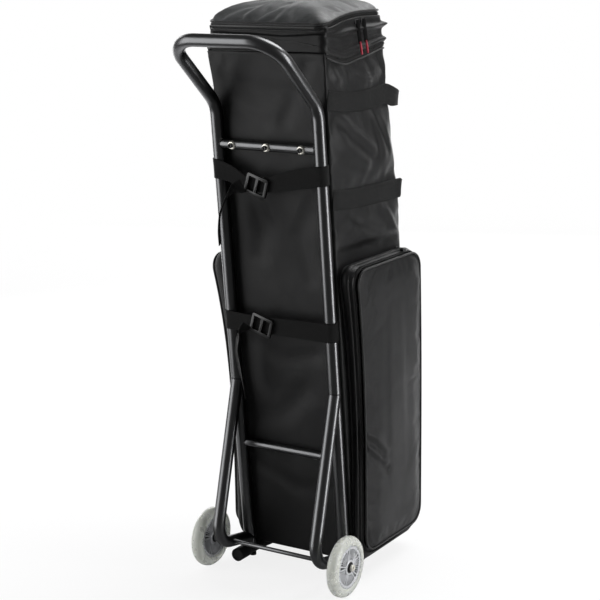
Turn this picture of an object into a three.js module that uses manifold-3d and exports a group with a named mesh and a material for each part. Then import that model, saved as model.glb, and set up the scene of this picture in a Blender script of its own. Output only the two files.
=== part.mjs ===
// Drum hardware cart: a tall soft bag strapped to a two-wheeled frame of bent steel tube.
// Millimetres. +X is to the right seen from the handle side, +Y runs from the frame towards the
// bag and +Z is up. Places are worked out with the wheel axle over y = 0, and the last lines move
// the origin to the middle of the footprint. The uprights lean back, so the pieces on them are
// placed in a leaning group, whose z runs along the uprights.

import * as THREE from 'three';
import { mergeVertices } from 'three/addons/utils/BufferGeometryUtils.js';
import Module from 'manifold-3d';

const wasm = await Module();
wasm.setup();

// Clearances and facets
const gap = 0.3;
const clothGap = 0.5;
const overrun = 5;
const degree = Math.PI / 180;
const bendStep = 18 * degree;
const tubeSides = 16;
const roundSides = 24;
const wheelSides = 40;
const cornerSteps = 4;
const bothSides = [{ name: 'left', sign: -1 }, { name: 'right', sign: 1 }];

// Driving dimensions of the frame
const upright = {
  lean: 5.62 * degree,
  footY: 80.5,
  halfSpacing: 117.5,
  radius: 12.5,
  shoulderZ: 985,
  shoulderBend: 60,
};
const handle = { back: 136, rise: 147, cornerBend: 60 };
const upperBar = { z: 905, radius: 9.5 };
const lowerBar = { z: 266.5, radius: 8 };
const leg = { radius: 12.5, topY: 38, topZ: 397, kneeY: -48, kneeZ: 69, kneeBend: 45, footZ: 46 };
const toe = {
  radius: 12.5,
  clearance: 7,
  rearY: 30,
  waistY: 95,
  waistBend: 200,
  frontY: 325,
  frontInset: 35.5,
  cornerBend: 50,
};
const toeCap = { wall: 1.2, end: 3, length: 30, dishRadius: 10, dishDepth: 1.6 };
const frameFoot = { radius: 7, height: 12, ahead: 7 };
const frontFoot = { radius: 10, height: 12, halfSpacing: 30 };

// Driving dimensions of the wheels and the axle
const wheel = { radius: 62.5, width: 24 };
const tyre = { innerRadius: 44, seatWidth: 20, treadWidth: 9, shoulderDrop: 3.5, cheekRadius: 52 };
const hub = { rimInner: 37.5, rimWidth: 19, webWidth: 6, bossRadius: 15, windowInner: 18, windowOuter: 35 };
const windowShares = [{ middle: 0.28, width: 0.46 }, { middle: 0.82, width: 0.12 }];
const hubSectors = 6;
const bearing = { radius: 11, width: 7, shoulderRadius: 8.5 };
const axle = { radius: 4.5, journalRadius: 4, threadRadius: 3, threadDepth: 18 };
const axleBolt = { headRadius: 7, headHeight: 5, socketRadius: 3, socketDepth: 3 };
const axleWasher = { radius: 9, thickness: 1.6 };
const axleSpacer = { radius: 8, length: 21.9 };

// Driving dimensions of the bag
const bag = { overhang: 13.5, depth: 271, rimZ: 1084, corner: 12, wall: 8 };
const bagLevelShares = [0, 0.254, 0.445, 0.613, 0.715, 0.934, 1];
const bagDepthShares = [0.856, 0.945, 0.985, 1, 0.989, 0.878, 0.867];
const baseBoard = { thickness: 4, inset: 4, corner: 12 };
const collar = { rearHeight: 45.4, wall: 4, sideFold: 4, frontFold: 20, tilt: 3.7 * degree };
const collarLevelShares = [0, 0.28, 0.48, 0.74, 0.84, 1];
const collarFoldShares = [0, 0.55, 0, 1, 0.1, 0];
const lid = { depth: 221, rimHeight: 8, dome: 27, corner: 18 };
const lidInsetShares = [0, 0.05, 0.16, 0.36, 0.62, 0.86];
const lidRiseShares = [0, 0.3, 0.58, 0.83, 0.96, 1];
const band = { width: 40, thickness: 2, rearStart: 4, drop: 3 * degree };
const upperBand = { belowRim: 86, slack: 62 };
const lowerBand = { abovePocket: 142, slack: 16 };
const bandReachShares = [0.35, 0.75, 0.95, 1];
const bandInsetShares = [0, 0.06, 0.22, 0.6];

// Driving dimensions of the side pockets
const pocket = {
  bottomWidth: 235,
  topWidth: 257,
  height: 604,
  bottomZ: 57,
  middleY: 209,
  topShift: 46,
  corner: 34,
  bottomDepth: 23.7,
  topDepth: 36.2,
  wall: 3,
  bulge: 10,
  sag: 14,
};
const pocketSideSteps = 6;
const pocketRingShares = [0, 0.25, 0.5, 0.75, 1];
const pocketBulgeShares = [0.2, 0.85, 1, 0.6, 0.2];
const cover = { rim: 6.5, dome: 6, slope: 34 };
const coverInsetShares = [0, 0.25, 0.7, 1, 3.3];
const coverRiseShares = [0, 0.45, 0.85, 1, 1];

// Driving dimensions of zip sliders, pulls, screws and straps
const slider = { length: 12, height: 9, thickness: 4.5, spacing: 23 };
const pull = { width: 7, thickness: 1.8, length: 42, holeRadius: 1.6 };
const pullTip = { radius: 1.7, length: 26 };
const lidSlider = { rearY: 100 };
const pocketSlider = { forward: 76, pullLength: 20 };
const screw = { radius: 3, headRadius: 5, headHeight: 4, socketRadius: 2.9, socketDepth: 2.4, spacing: 80 };
const cupWasher = { radius: 8.5, rimRadius: 7.2, height: 3.4, skirt: 3 };
const backingStrip = { endClearance: 18, width: 26, thickness: 3 };
const webbing = { width: 40, thickness: 1.6, sewnEnd: 7 };
const buckle = { length: 50, height: 41, thickness: 6, bar: 6, corner: 5, tilt: 18 * degree };
const strapWrap = { start: 150, step: 30, steps: 4 };
const upperStrap = { z: 856, buckleX: -22, dip: 26 };
const lowerStrap = { z: 540, buckleX: -34, dip: 0 };
const tailTilt = 60 * degree;
const upperTail = { beside: 26, reach: 54, drop: 118, standOff: 20, turn: 62 * degree };
const upperTailShares = {
  reach: [0, 0.32, 0.62, 0.85, 0.96, 1],
  drop: [0, 0.06, 0.22, 0.46, 0.74, 1],
  turn: [0, 0.15, 0.5, 0.85, 1, 1],
  standOff: [0, 0.35, 0.8, 1, 1, 0.9],
};
const lowerTail = { beside: 28, reach: 24, drop: 158, standOff: 12, turn: 40 * degree };
const lowerTailShares = {
  reach: [0, 0.7, 1, 1, 0.85, 0.65],
  drop: [0, 0.12, 0.33, 0.56, 0.8, 1],
  turn: [0, 0.5, 1, 1, 1.2, 1.4],
  standOff: [0, 0.7, 1, 0.7, 0.4, 0.5],
};

// Colours and finishes
const gunmetal = { color: 0x4b4c4f, roughness: 0.32, metalness: 0.9 };
const blackSteel = { color: 0x121314, roughness: 0.4, metalness: 0.5 };
const nickel = { color: 0xb9b7b0, roughness: 0.25, metalness: 1 };
const zinc = { color: 0x8f9296, roughness: 0.3, metalness: 1 };
const silverPlastic = { color: 0xb4b6b8, roughness: 0.3, metalness: 0.6 };
const clearTyre = { color: 0xdfe0da, roughness: 0.2, metalness: 0 };
const rubber = { color: 0x101010, roughness: 0.8, metalness: 0 };
const nylon = { color: 0x17181a, roughness: 0.75, metalness: 0 };
const webbingBlack = { color: 0x121213, roughness: 0.7, metalness: 0 };
const blackPlastic = { color: 0x0d0d0e, roughness: 0.35, metalness: 0 };
const redCord = { color: 0xc01830, roughness: 0.5, metalness: 0 };

const at = (x, y, z) => new THREE.Vector3(x, y, z);

// Shapes

function solid(geometry) {
  const bare = geometry.clone();
  bare.deleteAttribute('normal');
  bare.deleteAttribute('uv');
  const merged = mergeVertices(bare);
  const index = merged.index.array;
  const triangles = [];
  for (let i = 0; i < index.length; i += 3) {
    const corners = [index[i], index[i + 1], index[i + 2]];
    if (new Set(corners).size === 3) triangles.push(...corners);
  }
  const vertProperties = Float32Array.from(merged.attributes.position.array);
  return new wasm.Manifold(new wasm.Mesh({ numProp: 3, vertProperties, triVerts: Uint32Array.from(triangles) }));
}

function surface(body) {
  const mesh = body.getMesh();
  const geometry = new THREE.BufferGeometry();
  geometry.setAttribute('position', new THREE.BufferAttribute(Float32Array.from(mesh.vertProperties), 3));
  geometry.setIndex(Array.from(mesh.triVerts));
  geometry.computeVertexNormals();
  return geometry;
}

function cut(base, ...tools) {
  let body = solid(base);
  for (const tool of tools) body = body.subtract(solid(tool));
  return surface(body);
}

function join(...pieces) {
  let body = solid(pieces[0]);
  for (const piece of pieces.slice(1)) body = body.add(solid(piece));
  return surface(body);
}

function rod(radius, from, to, sides = roundSides) {
  const axis = to.clone().sub(from);
  const geometry = new THREE.CylinderGeometry(radius, radius, axis.length(), sides);
  geometry.applyQuaternion(new THREE.Quaternion().setFromUnitVectors(at(0, 1, 0), axis.normalize()));
  const middle = from.clone().add(to).multiplyScalar(0.5);
  return geometry.translate(middle.x, middle.y, middle.z);
}

function box(sizeX, sizeY, sizeZ, middle) {
  return new THREE.BoxGeometry(sizeX, sizeY, sizeZ).translate(middle.x, middle.y, middle.z);
}

// A turned piece about X: pairs of radius and place along the axis, anticlockwise.
function turned(profile, sides) {
  const points = profile.map(([radius, along]) => new THREE.Vector2(radius, along));
  return new THREE.LatheGeometry(points, sides).rotateZ(-Math.PI / 2);
}

function ring(outer, inner, from, to, sides = roundSides) {
  return turned([[inner, from], [outer, from], [outer, to], [inner, to], [inner, from]], sides);
}

// Straight runs joined by round bends, with stations only where the path turns.
class BentPath extends THREE.Curve {
  constructor(corners, radii) {
    super();
    this.places = [corners[0]];
    this.headings = [corners[1].clone().sub(corners[0]).normalize()];
    for (let i = 1; i + 1 < corners.length; i++) {
      this.bend(corners[i - 1], corners[i], corners[i + 1], radii[i - 1]);
    }
    this.places.push(corners[corners.length - 1]);
    this.headings.push(this.headings[this.headings.length - 1]);
  }

  bend(before, corner, after, radius) {
    const heading = corner.clone().sub(before).normalize();
    const next = after.clone().sub(corner).normalize();
    const turn = heading.angleTo(next);
    const axis = heading.clone().cross(next).normalize();
    const start = corner.clone().addScaledVector(heading, -radius * Math.tan(turn / 2));
    const centre = start.clone().addScaledVector(axis.clone().cross(heading), radius);
    const steps = Math.ceil(turn / bendStep);
    for (let k = 0; k <= steps; k++) {
      const angle = (turn * k) / steps;
      this.places.push(start.clone().sub(centre).applyAxisAngle(axis, angle).add(centre));
      this.headings.push(heading.clone().applyAxisAngle(axis, angle));
    }
  }

  station(share) {
    return Math.round(share * (this.places.length - 1));
  }

  getPoint(share, target = new THREE.Vector3()) {
    return target.copy(this.places[this.station(share)]);
  }

  getPointAt(share, target) {
    return this.getPoint(share, target);
  }

  getTangentAt(share, target = new THREE.Vector3()) {
    return target.copy(this.headings[this.station(share)]);
  }
}

function bentTube(corners, radii, radius) {
  const path = new BentPath(corners, radii);
  const section = [];
  for (let k = 0; k < tubeSides; k++) {
    const angle = (2 * Math.PI * k) / tubeSides;
    section.push(new THREE.Vector2(radius * Math.cos(angle), radius * Math.sin(angle)));
  }
  const options = { steps: path.places.length - 1, extrudePath: path, bevelEnabled: false };
  return new THREE.ExtrudeGeometry(new THREE.Shape(section), options);
}

// A closed body over rings of points, each ring anticlockwise about the way the rings run. The
// end rings are filled straight across, from each point to the one as far from the ring's end.
function loft(rings) {
  const count = rings[0].length;
  const index = [];
  for (let r = 0; r + 1 < rings.length; r++) {
    for (let i = 0; i < count; i++) {
      const a = r * count + i;
      const b = r * count + ((i + 1) % count);
      index.push(a, b, a + count, b, b + count, a + count);
    }
  }
  const top = (rings.length - 1) * count;
  for (let i = 0; i + 1 < count / 2; i++) {
    const far = count - 1 - i;
    index.push(i, far, i + 1, i + 1, far, far - 1);
    index.push(top + i, top + i + 1, top + far, top + i + 1, top + far - 1, top + far);
  }
  const geometry = new THREE.BufferGeometry().setFromPoints(rings.flat());
  geometry.setIndex(index);
  return geometry;
}

function roundedOutline(width, height, radius, sideSteps = 1) {
  const quarters = [[1, -1, -1], [1, 1, 0], [-1, 1, 1], [-1, -1, 2]];
  const points = [];
  for (const [acrossSign, upSign, quarter] of quarters) {
    for (let k = 0; k <= cornerSteps; k++) {
      const angle = ((quarter + k / cornerSteps) * Math.PI) / 2;
      points.push([
        acrossSign * (width / 2 - radius) + radius * Math.cos(angle),
        upSign * (height / 2 - radius) + radius * Math.sin(angle),
      ]);
    }
    if (acrossSign !== upSign) {
      const side = height / 2 - radius;
      for (let k = 1; k < sideSteps; k++) {
        points.push([(acrossSign * width) / 2, upSign * side * (1 - (2 * k) / sideSteps)]);
      }
    }
  }
  return points;
}

// A flat strip through stations, each with a place and half its width as a vector.
function ribbon(stations, thickness) {
  const rings = stations.map((station, i) => {
    const before = stations[Math.max(i - 1, 0)].place;
    const after = stations[Math.min(i + 1, stations.length - 1)].place;
    const heading = after.clone().sub(before).normalize();
    const half = heading.clone().cross(station.half).normalize().multiplyScalar(thickness / 2);
    const corner = (along, out) => (
      station.place.clone().addScaledVector(station.half, along).addScaledVector(half, out)
    );
    return [corner(-1, -1), corner(1, -1), corner(1, 1), corner(-1, 1)];
  });
  return loft(rings);
}

// Interpolates a list of shares at the given share of its own levels.
function valueAt(levels, values, level) {
  let k = 1;
  while (k < levels.length - 1 && level > levels[k]) k++;
  const share = (level - levels[k - 1]) / (levels[k] - levels[k - 1]);
  return values[k - 1] + (values[k] - values[k - 1]) * share;
}

// Groups

const cart = new THREE.Group();
const mast = new THREE.Group();
mast.position.y = upright.footY;
mast.rotation.x = upright.lean;
mast.updateMatrix();
cart.add(mast);

function add(parent, name, geometry, look) {
  const mesh = new THREE.Mesh(surface(solid(geometry)), new THREE.MeshStandardMaterial(look));
  mesh.name = name;
  parent.add(mesh);
}

const onMast = (geometry) => geometry.clone().applyMatrix4(mast.matrix);
const offMast = (geometry) => geometry.clone().applyMatrix4(mast.matrix.clone().invert());

// Frame tubes

const toeZ = toe.clearance + toe.radius;
const toeTopZ = toeZ + toe.radius;

function toeTube(radius) {
  const frontHalf = upright.halfSpacing - toe.frontInset;
  const corners = [
    at(-upright.halfSpacing, toe.rearY, toeZ),
    at(-upright.halfSpacing, toe.waistY, toeZ),
    at(-frontHalf, toe.frontY, toeZ),
    at(frontHalf, toe.frontY, toeZ),
    at(upright.halfSpacing, toe.waistY, toeZ),
    at(upright.halfSpacing, toe.rearY, toeZ),
  ];
  const radii = [toe.waistBend, toe.cornerBend, toe.cornerBend, toe.waistBend];
  return bentTube(corners, radii, radius);
}

function mainTube() {
  const x = upright.halfSpacing;
  const corners = [
    at(-x, 0, toeZ),
    at(-x, 0, upright.shoulderZ),
    at(-x, -handle.back, upright.shoulderZ + handle.rise),
    at(x, -handle.back, upright.shoulderZ + handle.rise),
    at(x, 0, upright.shoulderZ),
    at(x, 0, toeZ),
  ];
  const radii = [upright.shoulderBend, handle.cornerBend, handle.cornerBend, upright.shoulderBend];
  return cut(bentTube(corners, radii, upright.radius), offMast(toeTube(toe.radius + gap)));
}

const uprightRods = bothSides.map(({ sign }) => {
  const x = sign * upright.halfSpacing;
  return rod(upright.radius + gap, at(x, 0, 0), at(x, 0, upright.shoulderZ), tubeSides);
});

function crossbar(bar, holes = []) {
  const x = upright.halfSpacing;
  return cut(rod(bar.radius, at(-x, 0, bar.z), at(x, 0, bar.z), tubeSides), ...uprightRods, ...holes);
}

const bagHalfWidth = upright.halfSpacing + bag.overhang;
const screwPlaces = [-screw.spacing, 0, screw.spacing];
const bagFace = upright.radius + clothGap;
const bagInner = bagFace + bag.wall * Math.cos(upright.lean);
const stripFront = bagInner + gap + backingStrip.thickness;
const screwHoles = screwPlaces.map((x) => (
  rod(screw.radius + gap, at(x, -upperBar.radius - overrun, upperBar.z), at(x, stripFront + overrun, upperBar.z))
));

add(mast, 'main_frame_tube', mainTube(), gunmetal);
add(mast, 'upper_crossbar', crossbar(upperBar, screwHoles), gunmetal);
add(mast, 'lower_crossbar', crossbar(lowerBar), gunmetal);
add(cart, 'toe_loop', toeTube(toe.radius), blackSteel);

const uprightYAt = (z) => upright.footY - Math.tan(upright.lean) * z;

function legTube(sign) {
  const x = sign * upright.halfSpacing;
  const corners = [
    at(x, leg.topY, leg.topZ),
    at(x, leg.kneeY, leg.kneeZ),
    at(x, uprightYAt(leg.footZ), leg.footZ),
  ];
  const tube = bentTube(corners, [leg.kneeBend], leg.radius);
  const hole = rod(
    axle.radius + gap,
    at(x - leg.radius - overrun, 0, wheel.radius),
    at(x + leg.radius + overrun, 0, wheel.radius),
  );
  return cut(tube, hole, ...uprightRods.map(onMast));
}

// A rubber foot under a tube of the toe loop, hollowed to fit round it.
function rubberFoot({ radius, height }, x, y) {
  const pad = rod(radius, at(x, y, 0), at(x, y, height));
  return cut(pad, toeTube(toe.radius + gap));
}

// A rubber cap pushed over a rear end of the toe loop, with a dished end face.
function endCap(x) {
  const inner = toe.radius + gap;
  const outer = inner + toeCap.wall;
  const rear = toe.rearY - gap - toeCap.end;
  const seat = toe.rearY - gap;
  const front = seat + toeCap.length;
  const profile = [
    [0, rear + toeCap.dishDepth],
    [toeCap.dishRadius, rear + toeCap.dishDepth],
    [toeCap.dishRadius, rear],
    [outer, rear],
    [outer, front],
    [inner, front],
    [inner, seat],
    [0, seat],
  ];
  const points = profile.map(([radius, along]) => new THREE.Vector2(radius, along));
  return new THREE.LatheGeometry(points, roundSides).translate(x, 0, toeZ);
}

for (const { name, sign } of bothSides) {
  const x = sign * upright.halfSpacing;
  add(cart, `leg_tube_${name}`, legTube(sign), gunmetal);
  add(cart, `toe_end_cap_${name}`, endCap(x), rubber);
  add(cart, `frame_foot_${name}`, rubberFoot(frameFoot, x, upright.footY + frameFoot.ahead), rubber);
  add(cart, `front_foot_${name}`, rubberFoot(frontFoot, sign * frontFoot.halfSpacing, toe.frontY), rubber);
}

// Screws through the upper crossbar into the backing strip inside the bag

function hexSocket(radius, depth) {
  return new THREE.CylinderGeometry(radius, radius, 2 * depth, 6);
}

function crossbarScrew(x) {
  const seat = -upperBar.radius - cupWasher.height - gap;
  const shank = rod(screw.radius, at(x, seat, upperBar.z), at(x, stripFront, upperBar.z));
  const head = rod(screw.headRadius, at(x, seat - screw.headHeight, upperBar.z), at(x, seat, upperBar.z));
  const socket = hexSocket(screw.socketRadius, screw.socketDepth);
  socket.translate(x, seat - screw.headHeight, upperBar.z);
  return cut(join(head, shank), socket);
}

function cupWasherShape(x) {
  const rear = -upperBar.radius - cupWasher.height;
  const bore = screw.radius + gap;
  const profile = [
    [bore, rear],
    [cupWasher.rimRadius, rear],
    [cupWasher.radius, -upperBar.radius],
    [cupWasher.radius, -upperBar.radius + cupWasher.skirt],
    [bore, -upperBar.radius + cupWasher.skirt],
    [bore, rear],
  ];
  const points = profile.map(([radius, along]) => new THREE.Vector2(radius, along));
  const washer = new THREE.LatheGeometry(points, roundSides).translate(x, 0, upperBar.z);
  const bar = rod(
    upperBar.radius + gap,
    at(x - cupWasher.radius - overrun, 0, upperBar.z),
    at(x + cupWasher.radius + overrun, 0, upperBar.z),
    tubeSides,
  );
  return cut(washer, bar);
}

screwPlaces.forEach((x, i) => {
  add(mast, `crossbar_screw_${i + 1}`, crossbarScrew(x), nickel);
  add(mast, `cup_washer_${i + 1}`, cupWasherShape(x), nickel);
});
const stripMiddle = at(0, stripFront - backingStrip.thickness / 2, upperBar.z);
const stripLength = 2 * (bagHalfWidth - bag.wall - backingStrip.endClearance);
const strip = box(stripLength, backingStrip.thickness, backingStrip.width, stripMiddle);
add(mast, 'backing_strip', cut(strip, ...screwHoles), zinc);

// Axle and wheels

const bearingOuterEnd = wheel.width / 2;
const bearingInnerEnd = bearingOuterEnd - bearing.width;
const legSide = upright.halfSpacing + leg.radius;
const journalStart = legSide + gap + axleSpacer.length;
const halfTrack = journalStart + gap + wheel.width / 2;
const axleEnd = halfTrack + wheel.width / 2;

function axleShape() {
  const hole = axle.threadRadius + gap;
  const bottom = axleEnd - axle.threadDepth - gap;
  const half = [[axle.radius, journalStart], [axle.journalRadius, journalStart], [axle.journalRadius, axleEnd],
    [hole, axleEnd], [hole, bottom], [0, bottom]];
  const mirrored = half.map(([radius, along]) => [radius, -along]).reverse();
  return turned([...mirrored, ...half], roundSides).translate(0, 0, wheel.radius);
}

add(cart, 'axle', axleShape(), gunmetal);

function tyreShape() {
  const seat = tyre.seatWidth / 2;
  const cheek = wheel.width / 2;
  const tread = tyre.treadWidth / 2;
  const shoulder = wheel.radius - tyre.shoulderDrop;
  const half = [
    [tyre.innerRadius, 0],
    [tyre.innerRadius, seat],
    [tyre.cheekRadius, cheek],
    [shoulder, (cheek + tread) / 2],
    [wheel.radius, tread],
  ];
  const profile = [...half.slice(1).map(([radius, along]) => [radius, -along]), ...half.slice(1).reverse()];
  return turned([...profile, profile[0]], wheelSides);
}

function hubShape() {
  const rimOuter = tyre.innerRadius - gap;
  const rim = hub.rimWidth / 2;
  const web = hub.webWidth / 2;
  const boss = wheel.width / 2;
  const seatRadius = bearing.radius + gap;
  const seat = bearingInnerEnd - gap;
  const half = [
    [bearing.shoulderRadius, seat],
    [seatRadius, seat],
    [seatRadius, boss],
    [hub.bossRadius, boss],
    [hub.bossRadius, web],
    [hub.rimInner, web],
    [hub.rimInner, rim],
    [rimOuter, rim],
  ];
  const profile = [...half.map(([radius, along]) => [radius, -along]), ...[...half].reverse()];
  return turned([...profile, profile[0]], wheelSides);
}

// One window through the hub's web, between two radii over a share of a sector.
function hubWindow(sector, middle, width) {
  const sectorAngle = (2 * Math.PI) / hubSectors;
  const start = (sector + middle - width / 2) * sectorAngle;
  const sweep = width * sectorAngle;
  const outline = [];
  for (const radius of [hub.windowInner, hub.windowOuter]) {
    for (const share of [0, 0.5, 1]) {
      const along = radius === hub.windowInner ? share : 1 - share;
      const angle = start + sweep * along;
      outline.push(new THREE.Vector2(radius * Math.cos(angle), radius * Math.sin(angle)));
    }
  }
  const depth = hub.webWidth + 2 * overrun;
  const prism = new THREE.ExtrudeGeometry(new THREE.Shape(outline.reverse()), { depth, bevelEnabled: false });
  return prism.translate(0, 0, -depth / 2).rotateY(Math.PI / 2);
}

const hubWindows = [];
for (let sector = 0; sector < hubSectors; sector++) {
  for (const { middle, width } of windowShares) hubWindows.push(hubWindow(sector, middle, width));
}

function axleBoltShape() {
  const seat = bearingOuterEnd + gap + axleWasher.thickness + gap;
  const head = rod(axleBolt.headRadius, at(seat, 0, 0), at(seat + axleBolt.headHeight, 0, 0));
  const shank = rod(axle.threadRadius, at(bearingOuterEnd - axle.threadDepth, 0, 0), at(seat, 0, 0));
  const socket = hexSocket(axleBolt.socketRadius, axleBolt.socketDepth).rotateZ(Math.PI / 2);
  socket.translate(seat + axleBolt.headHeight, 0, 0);
  return cut(join(head, shank), socket);
}

const bearingBore = axle.journalRadius + gap;
const spacerOuter = journalStart - halfTrack;
const spacerInner = spacerOuter - axleSpacer.length;
const washerStart = bearingOuterEnd + gap;

for (const { name, sign } of bothSides) {
  const station = new THREE.Group();
  station.position.set(sign * halfTrack, 0, wheel.radius);
  station.rotation.z = sign < 0 ? Math.PI : 0;
  cart.add(station);
  const innerBearing = ring(bearing.radius, bearingBore, -bearingOuterEnd, -bearingInnerEnd);
  const outerBearing = ring(bearing.radius, bearingBore, bearingInnerEnd, bearingOuterEnd);
  const washer = ring(axleWasher.radius, axle.threadRadius + gap, washerStart, washerStart + axleWasher.thickness);
  add(station, `tyre_${name}`, tyreShape(), clearTyre);
  add(station, `hub_${name}`, cut(hubShape(), ...hubWindows), silverPlastic);
  add(station, `bearing_inner_${name}`, innerBearing, zinc);
  add(station, `bearing_outer_${name}`, outerBearing, zinc);
  add(station, `axle_spacer_${name}`, ring(axleSpacer.radius, axle.radius + gap, spacerInner, spacerOuter), zinc);
  add(station, `axle_washer_${name}`, washer, zinc);
  add(station, `axle_bolt_${name}`, axleBoltShape(), nickel);
}

// Bag body

const bagBottomZ = toeTopZ + clothGap;
const bagHeight = bag.rimZ - bagBottomZ;
const bagRearAt = (z) => uprightYAt(z) + bagFace / Math.cos(upright.lean);

function bagDepthAt(z) {
  return bag.depth * valueAt(bagLevelShares, bagDepthShares, (z - bagBottomZ) / bagHeight);
}

const bagFrontAt = (z) => bagRearAt(z) + bagDepthAt(z);

// A ring round the bag at a height at its rear, rising towards the front by its slope.
function bagRing(z, { inset = 0, front = bagFrontAt(z), slope = 0, fold = 0, frontFold = 0, corner = bag.corner } = {}) {
  const rearY = bagRearAt(z) + inset;
  const frontY = front - inset + frontFold;
  const outline = roundedOutline(2 * (bagHalfWidth - inset + fold), frontY - rearY, corner - inset);
  const middleY = (rearY + frontY) / 2;
  return outline.map(([x, y]) => at(x, middleY + y, z + slope * (middleY + y - bagRearAt(z))));
}

const bagLevels = bagLevelShares.map((share) => bagBottomZ + share * bagHeight);

function bagBody() {
  const outer = loft(bagLevels.map((z) => bagRing(z)));
  const floorZ = bagBottomZ + bag.wall;
  const hollowLevels = [floorZ, ...bagLevels.slice(1)];
  const hollow = hollowLevels.map((z) => bagRing(z, { inset: bag.wall }));
  const mouth = bagRing(bag.rimZ, { inset: bag.wall }).map((point) => point.add(at(0, 0, overrun)));
  return cut(outer, loft([...hollow, mouth]), ...screwHoles.map(onMast));
}

function baseBoardShape() {
  const z = bagBottomZ + bag.wall + gap;
  const inset = bag.wall + baseBoard.inset;
  const lower = bagRing(z, { inset, corner: inset + baseBoard.corner });
  const upper = lower.map((point) => point.clone().add(at(0, 0, baseBoard.thickness)));
  return loft([lower, upper]);
}

add(cart, 'bag_body', bagBody(), nylon);
add(cart, 'base_board', baseBoardShape(), blackPlastic);

// Expansion collar with two folds, and the lid that closes it

const collarBottomZ = bag.rimZ + gap;
const lidBottomZ = collarBottomZ + collar.rearHeight;
const lidFront = bagRearAt(lidBottomZ) + lid.depth;

function collarRing(share, options) {
  const z = collarBottomZ + share * (collar.rearHeight - gap);
  const front = bagFrontAt(bag.rimZ) + share * (lidFront - bagFrontAt(bag.rimZ));
  return bagRing(z, { front, slope: share * Math.tan(collar.tilt), ...options });
}

function collarShape() {
  const outer = collarLevelShares.map((share, k) => {
    const out = collarFoldShares[k];
    return collarRing(share, { fold: out * collar.sideFold, frontFold: out * collar.frontFold });
  });
  const inner = [0, 1].map((share) => collarRing(share, { inset: collar.wall }));
  inner[0].forEach((point) => point.add(at(0, 0, -overrun)));
  inner[1].forEach((point) => point.add(at(0, 0, overrun)));
  return cut(loft(outer), loft(inner));
}

function lidShape() {
  const slope = Math.tan(collar.tilt);
  const half = lid.depth / 2;
  const rings = [bagRing(lidBottomZ, { front: lidFront, slope, corner: lid.corner })];
  lidInsetShares.forEach((share, k) => {
    const inset = share * half;
    const corner = Math.max(lid.corner, inset + lid.corner * (1 - share));
    const ringPoints = bagRing(lidBottomZ, { inset, front: lidFront, slope, corner });
    const rise = lid.rimHeight + lidRiseShares[k] * lid.dome;
    rings.push(ringPoints.map((point) => point.add(at(0, 0, rise))));
  });
  return loft(rings);
}

add(cart, 'expansion_collar', collarShape(), nylon);
add(cart, 'lid', lidShape(), nylon);

// Zip sliders and pulls of the lid, on the bag's right side

function pullShape(length, holeDrop) {
  const tab = box(pull.thickness, pull.width, length, at(0, 0, -length / 2));
  const hole = rod(
    pull.holeRadius,
    at(-pull.thickness - overrun, 0, holeDrop - length),
    at(pull.thickness + overrun, 0, holeDrop - length),
    tubeSides,
  );
  return cut(tab, hole);
}

const pullOut = slider.thickness + gap + pull.thickness / 2;
['rear', 'front'].forEach((name, i) => {
  const y = lidSlider.rearY + i * slider.spacing;
  const slope = Math.tan(collar.tilt);
  const z = lidBottomZ + slope * (y - bagRearAt(lidBottomZ));
  const carrier = new THREE.Group();
  carrier.position.set(bagHalfWidth + clothGap, y, z);
  carrier.rotation.x = collar.tilt;
  cart.add(carrier);
  const body = box(slider.thickness, slider.length, slider.height, at(slider.thickness / 2, 0, 0));
  add(carrier, `lid_slider_${name}`, body, zinc);
  const hanger = new THREE.Group();
  hanger.position.set(bagHalfWidth + clothGap + pullOut, y, z + slider.height / 2);
  cart.add(hanger);
  add(hanger, `lid_pull_${name}`, pullShape(pull.length, pull.width / 2), blackPlastic);
  const tipTop = -pull.length - gap;
  const tip = rod(pullTip.radius, at(0, 0, tipTop - pullTip.length), at(0, 0, tipTop), tubeSides);
  add(hanger, `lid_pull_tip_${name}`, tip, redCord);
});

// Side pockets: a tray sewn to the bag's side, a zipped cover, a slider and its pull

const trayBack = clothGap;
const pocketDepthAt = (up) => pocket.bottomDepth + (pocket.topDepth - pocket.bottomDepth) * up ** 3;

// A ring round the right pocket at a share of the tray's depth and a distance further out. Towards
// its top the tray gets wider and deeper and leans back, by the cube of the height. Its underside
// sags.
function pocketRing(depthShare, out, grow, sag = 0) {
  const width = pocket.bottomWidth + 2 * grow;
  const height = pocket.height + 2 * grow;
  const outline = roundedOutline(width, height, Math.max(pocket.corner + grow, pocket.wall), pocketSideSteps);
  return outline.map(([y, z]) => {
    const up = z / pocket.height + 1 / 2;
    const widen = 1 + up ** 3 * (pocket.topWidth / pocket.bottomWidth - 1);
    const x = trayBack + depthShare * pocketDepthAt(up) + out;
    return at(x, y * widen - up ** 3 * pocket.topShift, z + pocket.height / 2 - sag * (1 - up));
  });
}

function trayShape() {
  const ringAt = (k, back, wall) => {
    const share = pocketBulgeShares[k];
    return pocketRing(pocketRingShares[k], back, share * pocket.bulge - wall, share * pocket.sag);
  };
  const outer = pocketRingShares.map((_, k) => ringAt(k, 0, 0));
  const inner = pocketRingShares.map((_, k) => ringAt(k, pocket.wall, pocket.wall));
  return cut(loft(outer), loft(inner));
}

function coverShape() {
  const rings = [pocketRing(1, gap, 0)];
  coverInsetShares.forEach((share, k) => {
    rings.push(pocketRing(1, gap + cover.rim + coverRiseShares[k] * cover.dome, -share * cover.slope));
  });
  return loft(rings);
}

const mirrored = (geometry) => surface(solid(geometry).mirror([1, 0, 0]));
const sliderX = trayBack + pocket.topDepth - slider.height / 2;
const sliderY = pocketSlider.forward - pocket.topShift;
const sliderSeatShare = 1 - slider.height / pocket.topDepth;
const sliderBulge = pocket.bulge * valueAt(pocketRingShares, pocketBulgeShares, sliderSeatShare);
const sliderZ = pocket.height + sliderBulge + clothGap;

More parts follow.
